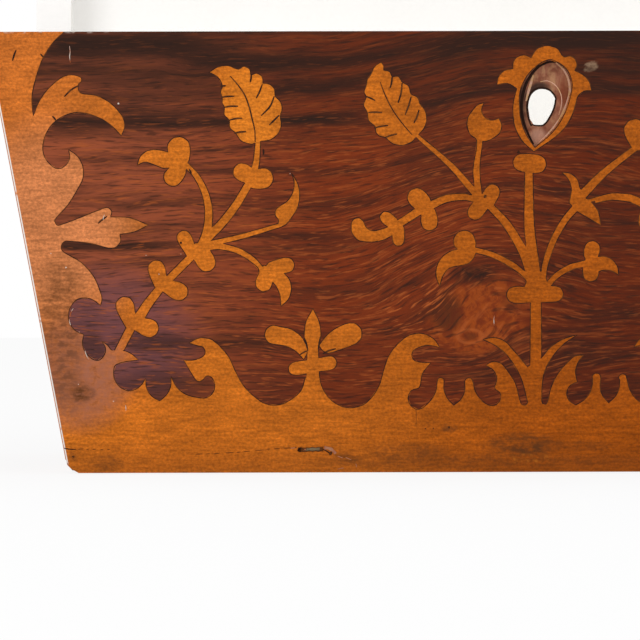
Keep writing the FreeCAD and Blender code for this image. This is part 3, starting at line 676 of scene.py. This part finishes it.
def grain_place(wood, along, lengthways, crossways, bend=None):
    """Coordinates for grain that runs along one axis of the box, or along each strip of a mitred frame."""
    x, y, z = wood.place()
    if along == MITRED:
        on_end = (abs(x) - abs(y) - (RIM_WIDTH - RIM_DEPTH) / 2).rise(-WELD, WELD)
        x, y = x + (y - x) * on_end, y + (x - y) * on_end
        along = 0
    place = [value * (lengthways if axis == along else crossways) for axis, value in enumerate((x, y, z))]
    return [value + bend for value in place] if bend else place


def plain_rosewood(looks, name, along, papered=False):
    """Rosewood of the other sides, with pale lower edges on the veneers of the lid."""
    wood = finish(name, looks.rosewood_left)
    bends = wood.noise(grain_place(wood, along, 8.0, 26.0), 2.0) - 0.5
    streaks = wood.noise(grain_place(wood, along, 6.0, 190.0, bends * 3.0), 5.0, 0.6)
    fibres = wood.noise(grain_place(wood, along, 40.0, 1100.0, bends * 9.0), 4.0, 0.65)
    pores = wood.noise(grain_place(wood, along, 180.0, 2000.0, bends * 12.0), 2.0)
    wood.tint((bends + 0.5).rise(0.36, 0.64), looks.rosewood_middle)
    wood.tint(streaks.rise(0.54, 0.36) * 0.9, looks.rosewood_dark)
    wood.tint(fibres.rise(0.5, 0.74) * 0.45, looks.pale_rosewood_and_glint)
    wood.tint(fibres.rise(0.48, 0.3) * 0.6, looks.rosewood_dark)
    wood.tint(pores.rise(0.55, 0.7) * 0.55, looks.rosewood_dark)
    if papered:
        y, z = wood.place()[1:]
        height = (y - HINGE_AXIS.y) * LID_TOP.y + (z - HINGE_AXIS.z) * LID_TOP.z
        wood.tint(height.rise(LID_GAP * 0.65, LID_GAP * 0.55), looks.paper)
    return wood.surface(fibres * 0.14 + 0.3, fibres * 0.5 + pores * 0.5, 0.00006, specular=0.14, coat=0.04)


def plain_satinwood(looks, name, along):
    """Satinwood of the other sides."""
    wood = finish(name, looks.satinwood_left)
    mottle = wood.noise(grain_place(wood, along, 25.0, 110.0), 4.0, 0.55, 0.4)
    grain = wood.noise(grain_place(wood, along, 70.0, 1000.0), 4.0, 0.65)
    speckle = wood.noise(grain_place(wood, along, 900.0, 1500.0), 2.0, 0.6)
    wood.tint(mottle.rise(0.35, 0.65), looks.satinwood_middle)
    wood.tint(mottle.rise(0.55, 0.8) * 0.5, looks.satinwood_right)
    wood.shade(grain * 0.9 + 0.52)
    wood.shade(speckle * 0.8 + 0.58)
    return wood.surface(grain * 0.12 + 0.3, grain * 0.5 + speckle * 0.5, 0.00004, specular=0.14, coat=0.04)


def raw_wood(looks, name, along):
    """Planed softwood: soft rings, long grain and no polish."""
    wood = finish(name, looks.raw_wood)
    rings = wood.noise(grain_place(wood, along, 9.0, 130.0), 3.0, 0.5, 0.8)
    grain = wood.noise(grain_place(wood, along, 36.0, 520.0), 3.0, 0.6)
    wood.shade(rings * 0.6 + 0.62)
    wood.shade(grain * 0.3 + 0.82)
    return wood.surface(0.75, grain, 0.00008, specular=0.15)


def bed_wood(looks):
    """The front board: raw inside, and scraped, stained wood in the bed and the keyhole, with painted shade
    under the keyhole's lip, at the bed's lower left and down the bore.
    """
    wood = finish("bed_wood", looks.bed_wood)
    column, row = wood.photo_place()
    y, z = wood.place()[1:]
    depth = (y + RIM_DEPTH / 2) * (BODY_HEIGHT / SLANT) + (z - BODY_HEIGHT) * (OVERHANG / SLANT)
    ring = wood.oval(column, row, KEYHOLE)
    scrapes = wood.noise((column * 0.16, row * 0.05, 2.0), 4.0, 0.65, 0.8)
    grime = wood.noise((column * 0.07, row * 0.08, 6.0), 3.0)
    wood.tint(scrapes.rise(0.4, 0.7) * 0.45, looks.raw_wood)
    wood.tint(grime.rise(0.55, 0.38) * 0.6, looks.rosewood_right)
    wood.tint(wood.spot(column, row, BED_STAIN) * 0.6, looks.rosewood_middle)
    wood.tint(wood.spot(column, row, BED_FOOT) * 0.5, looks.pale_bed_and_highlight)
    # Painted shadow under the lip at the top left of the keyhole
    shadow_under_lip = ring.rise(2.2, 1.5) * row.rise(104, 92) * column.rise(558, 543)
    wood.tint(shadow_under_lip * 0.92, looks.saw_line)
    # Painted shade at the lower left of the bed
    wood.tint(column.rise(530, 521) * row.rise(140, 120) * 0.8, looks.rosewood_dark)
    # Painted shade down the keyhole's bore, darker with depth
    shaded_bore = ring.rise(2.6, 1.8) * depth.rise(BED_DEPTH * 1.1, BED_DEPTH * 1.3)
    wood.tint(shaded_bore, wood.mix(depth.rise(*BORE_SHADE_DEPTHS), looks.bed_wood, looks.rosewood_dark))
    return wood.surface(0.6, scrapes, 0.0002, specular=0.2)


# Finishes of the paper, the brass and the lines

def lining_paper(looks):
    """Pale laid paper, toned and foxed with age away from the rims."""
    sheet = finish("lining_paper", looks.paper)
    fibres = sheet.noise(sheet.stretched(900.0, 900.0, 900.0), 3.0, 0.6)
    clouds = sheet.noise(sheet.stretched(18.0, 18.0, 18.0), 3.0)
    spots = sheet.noise(sheet.stretched(170.0, 170.0, 170.0), 3.0, 0.6)
    low, high = CLEAN_PAPER
    z = sheet.place()[2]
    aged = z.rise(low, low - AGEING_REACH).larger(z.rise(high, high + AGEING_REACH))
    sheet.shade(clouds * 0.08 + fibres * 0.05 + 0.94)
    sheet.tint(aged * (clouds.rise(0.35, 0.7) * 0.5 + 0.12), looks.toned_paper)
    sheet.tint(aged * spots.rise(0.62, 0.74) * clouds.rise(0.4, 0.6) * 0.6, looks.foxing)
    return sheet.surface(0.85, fibres, 0.00003, specular=0.1)


def worn_brass(looks):
    """Brass that is tarnished in spots and rubbed lengthways."""
    metal = finish("worn_brass", looks.brass)
    tarnish = metal.noise(metal.stretched(220.0, 220.0, 220.0), 4.0, 0.6)
    rubbed = metal.noise(metal.stretched(60.0, 900.0, 900.0), 3.0)
    metal.shade(tarnish * 0.7 + 0.5)
    return metal.surface(tarnish * 0.3 + 0.22, rubbed, 0.00002, specular=0.5, metallic=1.0)


def line_finish(name, colour, faded, roughness):
    """A line, chip or scratch whose tone comes and goes along its length."""
    line = finish(name, colour)
    patches = line.noise(line.stretched(420.0, 420.0, 420.0), 3.0)
    line.tint(patches.rise(0.42, 0.64), faded)
    return line.surface(roughness, specular=0.08)


# Strips laid on the veneers

def on_front(column, row, lift):
    """A photo pixel as a point of the front panel."""
    share = (BASE_ROW - row) / (BASE_ROW - RIM_ROW)
    axis = BASE_AXIS + (RIM_AXIS - BASE_AXIS) * share
    edge = BASE_EDGE + (RIM_EDGE - BASE_EDGE) * share
    rise = share * NEARNESS / (1 - share + share * NEARNESS)
    inset = OVERHANG * (1 - rise)
    x = (column - axis) / (axis - edge) * (RIM_WIDTH / 2 - inset)
    return Vector((x, inset - RIM_DEPTH / 2, rise * BODY_HEIGHT)) + FRONT * lift


def mirrored(path):
    return [Vector((-point.x, point.y, point.z)) for point in path]


def smooth_path(points, closed):
    """A curve through the points that keeps their sharp corners."""
    count = len(points)
    path = []
    for index in range(count if closed else count - 1):
        start = points[index]
        end = points[(index + 1) % count]
        third = (end - start).length / 3
        before = points[index - 1] if closed or index else start
        after = points[(index + 2) % count] if closed or index + 2 < count else end
        leave = (end - start).normalized()
        arrive = (end - start).normalized()
        if (start - before).length and (start - before).angle(end - start) < CUSP:
            leave = (end - before).normalized()
        if (after - end).length and (end - start).angle(after - end) < CUSP:
            arrive = (after - start).normalized()
        path += interpolate_bezier(start, start + leave * third, end - arrive * third, end, CURVE_STEPS)[:-1]
    return path if closed else path + [points[-1]]


def lay_strip(mesh, path, widths, normal, closed=False):
    """Draws a short edge along a path, so that a flat strip is left behind it."""
    count = len(path)
    sides = []
    for index, width in enumerate(widths):
        before = path[index - 1] if closed or index else path[index]
        after = path[(index + 1) % count] if closed or index + 1 < count else path[index]
        sides.append(normal.cross(after - before).normalized() * (width / 2))
    left = mesh.verts.new(path[0] + sides[0])
    right = mesh.verts.new(path[0] - sides[0])
    edge = mesh.edges.new((left, right))
    for index in [*range(1, count), *([0] if closed else [])]:
        made = bmesh.ops.extrude_edge_only(mesh, edges=[edge])["geom"]
        ends = [item for item in made if isinstance(item, bmesh.types.BMVert)]
        neighbours = [link.other_vert(left) for link in left.link_edges]
        left = next(vert for vert in ends if vert in neighbours)
        right = next(vert for vert in ends if vert != left)
        left.co = path[index] + sides[index]
        right.co = path[index] - sides[index]
        edge = mesh.edges.get((left, right))


def lay_speck(mesh, centre, radius, normal):
    """A small ragged spot."""
    matrix = Matrix.Translation(centre) @ normal.to_track_quat("Z", "Y").to_matrix().to_4x4()
    made = bmesh.ops.create_circle(
        mesh, cap_ends=True, segments=SPECK_CORNERS, radius=radius, matrix=matrix)
    for vert in made["verts"]:
        vert.co += (vert.co - centre) * noise.noise(vert.co * SPECK_FINENESS) * SPECK_DEPTH


def wavering(path, width, share):
    """Widths that come and go along a path, the same on every run."""
    return [width * (1 + share * noise.noise(point * WAVER_FINENESS)) for point in path]


def tapering(path, width):
    """Widths that swell towards the middle of a path."""
    last = len(path) - 1
    arcs = [math.pi * (TAPER_START + TAPER_SPAN * index / last) for index in range(last + 1)]
    return [width * (TAPERED_SHARE + (1 - TAPERED_SHARE) * math.sin(arc)) for arc in arcs]


def add_object(name, data):
    made = bpy.data.objects.new(name, data)
    bpy.context.scene.collection.objects.link(made)
    return made


def mesh_object(name, mesh, material):
    """Makes an object of a bmesh, which is used up."""
    data = bpy.data.meshes.new(name)
    mesh.to_mesh(data)
    mesh.free()
    data.materials.append(material)
    return add_object(name, data)


def lay_piece(name, mesh, material, body, normal=None):
    """Makes a piece of a bmesh, with its faces turned outwards, and lets it ride on a body."""
    bmesh.ops.remove_doubles(mesh, verts=mesh.verts, dist=WELD / 10)
    mesh.normal_update()
    if normal is not None:
        inward = [face for face in mesh.faces if face.normal.dot(normal) < 0]
        bmesh.ops.reverse_faces(mesh, faces=inward)
    piece = mesh_object(name, mesh, material)
    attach(piece, body)
    return piece


def front_path(pixels, lift):
    """A smooth path on the front through some photo pixels."""
    return smooth_path([on_front(*pixel, lift) for pixel in pixels], False)


def lay_lines(name, material, lines, specks=()):
    """Lays one piece of lines and specks on the front. A line has a path and its widths."""
    mesh = bmesh.new()
    for path, widths in lines:
        lay_strip(mesh, path, widths, FRONT)
    for centre, radius in specks:
        lay_speck(mesh, centre, radius, FRONT)
    lay_piece(name, mesh, material, "case", FRONT)


def outline_loops(node, normal):
    """The outlines of the outward face of an inlay, each in order."""
    mesh = bmesh.new()
    mesh.from_mesh(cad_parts[node].data)
    bmesh.ops.remove_doubles(mesh, verts=mesh.verts, dist=WELD)
    mesh.normal_update()
    hidden = [face for face in mesh.faces if face.normal.dot(normal) < FACING]
    bmesh.ops.delete(mesh, geom=hidden, context="FACES")
    ahead = {}
    for edge in mesh.edges:
        if len(edge.link_loops) == 1:
            loop = edge.link_loops[0]
            ahead[loop.vert] = loop.link_loop_next.vert
    loops = []
    while ahead:
        start, vert = ahead.popitem()
        loop = [start.co.copy()]
        while vert in ahead:
            loop.append(vert.co.copy())
            vert = ahead.pop(vert)
        loops.append(loop)
    mesh.free()
    return loops


def on_case_edge(point):
    """True near the outline of a panel of the case."""
    inset = OVERHANG * (1 - point.z / BODY_HEIGHT) + OUTLINE_MARGIN
    beside = abs(point.x) > RIM_WIDTH / 2 - inset and abs(point.y) > RIM_DEPTH / 2 - inset
    return beside or point.z < OUTLINE_MARGIN or point.z > BODY_HEIGHT - OUTLINE_MARGIN / 2


def shared_edges(loops, border):
    """The edges of some outlines that lie on the outline of the border."""
    near = [(a, b) for loop in border for a, b in zip(loop, loop[1:] + loop[:1])]

    def on_border(point):
        return any(beside(point, edge, SHARED_GAP, 0.0) for edge in near)

    edges = [edge for loop in loops for edge in zip(loop, loop[1:] + loop[:1])]
    return [edge for edge in edges if all(on_border(point) for point in edge)]


def beside(point, edge, reach, margin):
    """True where a point lies within reach of an edge, between its ends."""
    foot, share = intersect_point_line(point, *edge)
    return margin <= share <= 1 - margin and (foot - point).length < reach


def inner_runs(loop, outer):
    """The stretches of an outline that an outer edge doesn't take up, and whether they close."""
    if not any(outer(point) for point in loop):
        return [(loop, True)]
    first = next(index for index, point in enumerate(loop) if outer(point))
    runs = [[]]
    for point in loop[first:] + loop[:first]:
        if outer(point):
            runs.append([])
        else:
            runs[-1].append(point)
    return [(run, False) for run in runs if len(run) > 2]


# Operators, one for each group of like pieces

class SARCOPHAGUS_OT_veneers(bpy.types.Operator):
    """Gives the rosewood and satinwood veneers their finishes"""
    bl_idname = "sarcophagus.veneers"
    bl_label = "Veneers"

    def execute(self, context):
        looks = context.scene.box_looks
        dress(front_rosewood(looks), "front_ground_veneer")
        dress(front_satinwood(looks), "front_border", *SPRAYS)
        dress(plain_rosewood(looks, "rosewood_rim", MITRED), "rim_facing")
        dress(plain_rosewood(looks, "rosewood_lengthways", 0), "back_veneer", "lid_top_ground_veneer")
        dress(plain_rosewood(looks, "rosewood_case_ends", 1), "left_ground_veneer", "right_ground_veneer")
        dress(plain_rosewood(looks, "rosewood_lid_front", 0, True), "lid_front_veneers", "lid_back_veneers")
        dress(plain_rosewood(looks, "rosewood_lid_ends", 2, True), "lid_left_veneers", "lid_right_veneers")
        dress(plain_satinwood(looks, "satinwood_lengthways", 0), "lid_top_border")
        dress(plain_satinwood(looks, "satinwood_case_ends", 1), "left_border", "right_border")
        return {"FINISHED"}


class SARCOPHAGUS_OT_carcass(bpy.types.Operator):
    """Gives the boards of the case and the lid their raw wood"""
    bl_idname = "sarcophagus.carcass"
    bl_label = "Carcass"

    def execute(self, context):
        looks = context.scene.box_looks
        dress(bed_wood(looks), "front_board")
        dress(raw_wood(looks, "raw_wood_lengthways", 0), "base_board", "back_board", "lid_front_slope",
              "lid_back_slope", "lid_top_board")
        dress(raw_wood(looks, "raw_wood_case_ends", 1), "left_board", "right_board")
        dress(raw_wood(looks, "raw_wood_lid_ends", 2), "lid_left_slope", "lid_right_slope")
        return {"FINISHED"}


class SARCOPHAGUS_OT_lining(bpy.types.Operator):
    """Papers the inside of the case and of the lid, and the joint round the lid's panel"""
    bl_idname = "sarcophagus.lining"
    bl_label = "Lining"

    def execute(self, context):
        paper = lining_paper(context.scene.box_looks)
        dress(paper, "floor_lining", "lid_lining_panel", "lid_rim_facing")
        for side in ("front", "back", "left", "right"):
            dress(paper, side + "_lining", "lid_" + side + "_rail")
        sizes = context.scene.box_sizes
        mesh = bmesh.new()
        for loop in outline_loops("lid_lining_panel", -LID_TOP):
            path = [point - LID_TOP * sizes.lift for point in loop]
            lay_strip(mesh, path, [sizes.paper_strip] * len(path), -LID_TOP, True)
        lay_piece("lid_lining_strips", mesh, paper, "lid", -LID_TOP)
        return {"FINISHED"}


class SARCOPHAGUS_OT_hinges(bpy.types.Operator):
    """Gives the hinges their brass and cuts the slots of their screws"""
    bl_idname = "sarcophagus.hinges"
    bl_label = "Hinges"

    def execute(self, context):
        looks = context.scene.box_looks
        brass = worn_brass(looks)
        for side in ("left", "right"):
            dress(brass, side + "_hinge_case_leaf", side + "_hinge_lid_leaf", side + "_hinge_pin")
        dress(brass, "case_hinge_screws", "lid_hinge_screws")
        dark = line_finish("screw_slot", looks.saw_line, looks.rosewood_dark, 0.6)
        lift = context.scene.box_sizes.lift
        screws = [side * HINGE_FROM_CENTRE + end * SCREW_SPACING / 2 for side in (-1, 1) for end in (-1, 1)]
        for body, face in (("case", 1), ("lid", -1)):
            mesh = bmesh.new()
            normal = Vector((0.0, 0.0, face))
            for index, x in enumerate(screws):
                centre = Vector((x, HINGE_AXIS.y - SCREW_OFFSET, HINGE_AXIS.z - face * (LID_GAP / 2 - lift)))
                turn = SLOT_TURN + NEXT_SLOT_TURN * index
                reach = Vector((math.cos(turn), math.sin(turn), 0.0)) * SLOT_REACH
                path = [centre - reach, centre, centre + reach]
                lay_strip(mesh, path, [SLOT_WIDTH] * len(path), normal)
            if body == "lid":
                opened = Matrix.Translation(HINGE_AXIS) @ LID_TURN @ Matrix.Translation(-HINGE_AXIS)
                bmesh.ops.transform(mesh, matrix=opened, verts=mesh.verts)
                normal = LID_TURN @ normal
            lay_piece(body + "_screw_slots", mesh, dark, body, normal)
        return {"FINISHED"}


class SARCOPHAGUS_OT_saw_lines(bpy.types.Operator):
    """Lays the dark saw line round every inlay"""
    bl_idname = "sarcophagus.saw_lines"
    bl_label = "Saw lines"

    def execute(self, context):
        sizes = context.scene.box_sizes
        looks = context.scene.box_looks
        dark = line_finish("saw_line", looks.saw_line, looks.satinwood_shade, 0.5)
        border = outline_loops("front_border", FRONT)
        feet = [edge for name in SPRAYS for edge in shared_edges(outline_loops(name, FRONT), border)]
        inlays = [(name, FRONT, "case") for name in SPRAYS + ("front_border",)]
        inlays += [("left_border", LEFT, "case"), ("right_border", RIGHT, "case")]
        inlays += [("lid_top_ground_veneer", LID_TOP, "lid")]

        def unseen(point):
            joined = any(beside(point, foot, SHARED_REACH, 0.01) for foot in feet)
            return joined or on_case_edge(point)

        for node, normal, body in inlays:
            mesh = bmesh.new()
            for loop in outline_loops(node, normal):
                lifted = [point + normal * sizes.lift for point in smooth_path(loop, True)]
                for path, closed in inner_runs(lifted, unseen if body == "case" else (lambda point: False)):
                    lay_strip(mesh, path, wavering(path, sizes.saw_line, 0.45), normal, closed)
            lay_piece(node + "_saw_line", mesh, dark, body, normal)
        return {"FINISHED"}


class SARCOPHAGUS_OT_leaf_veins(bpy.types.Operator):
    """Saws the veins of the leaves and the small cuts of the scrolls"""
    bl_idname = "sarcophagus.leaf_veins"
    bl_label = "Leaf veins"

    def execute(self, context):
        sizes = context.scene.box_sizes
        looks = context.scene.box_looks
        dark = line_finish("leaf_vein", looks.saw_line, looks.satinwood_shade, 0.5)
        cuts = SERRATED_CUTS + UPRIGHT_CUTS + BORDER_CUTS + BLOSSOM_CUTS
        veins = [(cut, sizes.vein) for cut in cuts]
        veins += [(SERRATED_MIDRIB, sizes.vein * 0.8), (UPRIGHT_MIDRIB, sizes.vein * 0.65)]
        lines = []
        for pixels, width in veins:
            path = front_path(pixels, sizes.lift * CRACK_LAYER)
            lines += [(side, tapering(side, width)) for side in (path, mirrored(path))]
        lay_lines("leaf_veins", dark, lines)
        return {"FINISHED"}


class SARCOPHAGUS_OT_wear(bpy.types.Operator):
    """Cracks the base joint and adds chips, scratches, specks and painted glints to the front"""
    bl_idname = "sarcophagus.wear"
    bl_label = "Wear"

    def execute(self, context):
        looks = context.scene.box_looks
        low = context.scene.box_sizes.lift * CRACK_LAYER
        high = context.scene.box_sizes.lift * MARK_LAYER

        def wavering_lines(marks, lift, share):
            paths = [(front_path(pixels, lift), width * PIXEL) for pixels, width in marks]
            return [(path, wavering(path, width, share)) for path, width in paths]

        def tapering_lines(marks, lift, width):
            paths = [front_path(pixels, lift) for pixels in marks]
            return [(path, tapering(path, width * PIXEL)) for path in paths]

        def specks(places, lift):
            return [(on_front(column, row, lift), radius * PIXEL) for column, row, radius in places]

        dark = line_finish("crack", looks.saw_line, looks.satinwood_shade, 0.8)
        cracks = ((BASE_CRACK, 1.0), (BASE_GAP, 4.2), (GAP_END, 1.3), (HAIRLINE, 0.4))
        dashes = [((column, row), (column + length / 2, row - 0.2), (column + length, row - 0.5))
                  for column, row, length in CRACK_DASHES]
        lines = wavering_lines(cracks, low, 0.4) + tapering_lines(dashes, low, 0.6)
        lay_lines("base_joint_crack", dark, lines, specks(DARK_SPECKS, low))

        grey = line_finish("filling", looks.filling, looks.satinwood_shade, 0.9)
        lay_lines("base_joint_filling", grey, wavering_lines([(GAP_FILLING, 2.6)], high, 0.5))

        bare = line_finish("chip", looks.chip, looks.satinwood_worn, 0.9)
        chips = [(BASE_CHIP, 2.8)] + [(fleck, 0.6) for fleck in BASE_FLECKS]
        lay_lines("base_joint_chips", bare, wavering_lines(chips, high, 0.6))

        # Scratches and specks, with painted glints among them
        worn = line_finish("scratch_and_glint", looks.scratch_and_glint, looks.pale_rosewood_and_glint, 0.6)
        scratches_and_glints = tapering_lines(SCRATCHES_AND_GLINTS, high, 0.7)
        lay_lines("front_scratches_and_glints", worn, scratches_and_glints, specks(SPECKS_AND_GLINTS, high))
        return {"FINISHED"}


class SARCOPHAGUS_OT_worn_corner(bpy.types.Operator):
    """Rounds the worn lower corner of the left border and the base board"""
    bl_idname = "sarcophagus.worn_corner"
    bl_label = "Worn corner"

    def execute(self, context):
        corner = [on_front(*pixel, 0.0) for pixel in WORN_CORNER]
        for node, slot in (("left_border", "satinwood"), ("base_board", "carcass_pine")):
            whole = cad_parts[node]
            mesh = bmesh.new()
            mesh.from_mesh(whole.data)
            bmesh.ops.remove_doubles(mesh, verts=mesh.verts, dist=WELD)
            for start, end in zip(corner, corner[1:]):
                outwards = WEAR_RUNS_OUT.cross(end - start)
                cut = bmesh.ops.bisect_plane(
                    mesh, geom=[*mesh.verts, *mesh.edges, *mesh.faces], dist=WELD / 10, plane_co=start,
                    plane_no=outwards, clear_outer=True)["geom_cut"]
                rim = [item for item in cut if isinstance(item, bmesh.types.BMEdge)]
                bmesh.ops.holes_fill(mesh, edges=rim)
            for face in mesh.faces:
                face.smooth = False
            piece = lay_piece("worn_" + node, mesh, whole.material_slots[0].material, "case")
            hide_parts(node)
        return {"FINISHED"}


class SARCOPHAGUS_OT_escutcheon_bed(bpy.types.Operator):
    """Lays painted shade on the wall of the escutcheon's bed and round the keyhole, and painted highlights on
    the bed's edges
    """
    bl_idname = "sarcophagus.escutcheon_bed"
    bl_label = "Escutcheon bed"

    def execute(self, context):
        looks = context.scene.box_looks
        lift = context.scene.box_sizes.lift
        rise = BED_DEPTH * OVERHANG / SLANT / PIXEL

        def bed_lines(*marks):
            lines = []
            for pixels, width, layer in marks:
                path = front_path([(column, row + rise) for column, row in pixels], lift * layer - BED_DEPTH)
                lines.append((path, tapering(path, width * PIXEL)))
            return lines

        # Painted shade and painted highlights, laid as strips on the floor of the bed
        dark = line_finish("bed_shade", looks.rosewood_dark, looks.saw_line, 0.7)
        pale = line_finish("bed_light", looks.pale_bed_and_highlight, looks.raw_wood, 0.7)
        shade = bed_lines((BED_SHADE, 3.0, 1), (KEYHOLE_RIM_SHADE, 2.4, 2), (KEYHOLE_FOOT_SHADE, 1.9, 2))
        light = bed_lines((BED_GLEAM, 2.6, 2), (BED_LIP_HIGHLIGHT, 2.2, 1), (BED_RIDGE_HIGHLIGHT, 0.9, 1))
        lay_lines("escutcheon_bed_shade", dark, shade)
        lay_lines("escutcheon_bed_light", pale, light)
        return {"FINISHED"}


class SARCOPHAGUS_OT_stage(bpy.types.Operator):
    """Sets the floor, the light and the camera"""
    bl_idname = "sarcophagus.stage"
    bl_label = "Stage"

    def execute(self, context):
        scene = context.scene
        stage = scene.stage_settings
        scene.view_settings.view_transform = "Standard"

        mesh = bmesh.new()
        bmesh.ops.create_grid(mesh, x_segments=1, y_segments=1, size=FLOOR_SIZE)
        bmesh.ops.translate(mesh, verts=mesh.verts, vec=(0.0, 0.0, -FLOOR_DROP))
        floor = mesh_object("floor", mesh, self.floor_finish())

        world = bpy.data.worlds.new("surroundings")
        scene.world = world
        sky = Finish(world)
        shown = sky.background_rays()
        light = sky.node("ShaderNodeBackground", None, {
            "Color": WHITE, "Strength": shown * (1.0 - stage.ambient) + stage.ambient})
        sky.node("ShaderNodeOutputWorld", None, {"Surface": light})

        for name, place, share, size in LAMPS:
            lamp = bpy.data.lights.new(name, "AREA")
            lamp.energy = stage.key_power * share
            lamp.size = size
            stand = add_object(name, lamp)
            stand.location = place
            stand.rotation_euler = (LAMP_AIM - stand.location).to_track_quat("-Z", "Y").to_euler()

        lens = bpy.data.cameras.new("camera")
        lens.lens = stage.camera_lens
        lens.sensor_width = SENSOR_WIDTH
        lens.clip_end = VIEW_REACH
        camera = add_object("camera", lens)
        ahead = Vector((math.sin(stage.camera_yaw), math.cos(stage.camera_yaw), 0.0))
        turn = ahead.to_track_quat("-Z", "Y").to_matrix() @ Matrix.Rotation(stage.camera_roll, 3, "Z")
        camera.location = stage.camera_place
        camera.rotation_euler = turn.to_euler()
        scene.camera = camera
        return {"FINISHED"}

    def floor_finish(self):
        """A pale floor that the camera sees as white but for the shadow on it."""
        ground = finish("pale_floor")
        lit = ground.node("ShaderNodeBsdfDiffuse", None, {"Color": FLOOR_COLOUR})
        white = ground.node("ShaderNodeEmission", None, {"Color": WHITE, "Strength": 1.0})
        shown = ground.background_rays() * FLOOR_GLOW
        blend = ground.node("ShaderNodeMixShader", None, {0: shown, 1: lit, 2: white})
        ground.node("ShaderNodeOutputMaterial", None, {"Surface": blend})
        return ground.owner


class SARCOPHAGUS_PT_panel(bpy.types.Panel):
    """Lists the steps that dress the box"""
    bl_idname = "SARCOPHAGUS_PT_panel"
    bl_label = "Sarcophagus box"
    bl_space_type = "VIEW_3D"
    bl_region_type = "UI"
    bl_category = "Sarcophagus box"

    def draw(self, context):
        for operator in OPERATORS:
            self.layout.operator(operator.bl_idname)


OPERATORS = (
    SARCOPHAGUS_OT_stage,
    SARCOPHAGUS_OT_carcass,
    SARCOPHAGUS_OT_veneers,
    SARCOPHAGUS_OT_lining,
    SARCOPHAGUS_OT_hinges,
    SARCOPHAGUS_OT_saw_lines,
    SARCOPHAGUS_OT_leaf_veins,
    SARCOPHAGUS_OT_wear,
    SARCOPHAGUS_OT_worn_corner,
    SARCOPHAGUS_OT_escutcheon_bed,
)
SETTINGS = {"box_looks": BoxLooks, "box_sizes": BoxSizes, "stage_settings": StageSettings}


def register():
    for group in SETTINGS.values():
        bpy.utils.register_class(group)
    for name, group in SETTINGS.items():
        setattr(bpy.types.Scene, name, PointerProperty(type=group))
    for shown in OPERATORS + (SARCOPHAGUS_PT_panel,):
        bpy.utils.register_class(shown)


def unregister():
    for shown in reversed(OPERATORS + (SARCOPHAGUS_PT_panel,)):
        bpy.utils.unregister_class(shown)
    for name, group in SETTINGS.items():
        delattr(bpy.types.Scene, name)
        bpy.utils.unregister_class(group)


def main():
    register()
    bpy.ops.sarcophagus.stage()
    bpy.ops.sarcophagus.carcass()
    bpy.ops.sarcophagus.veneers()
    bpy.ops.sarcophagus.lining()
    bpy.ops.sarcophagus.hinges()
    bpy.ops.sarcophagus.saw_lines()
    bpy.ops.sarcophagus.leaf_veins()
    bpy.ops.sarcophagus.wear()
    bpy.ops.sarcophagus.worn_corner()
    bpy.ops.sarcophagus.escutcheon_bed()


if __name__ == "__main__":
    main()
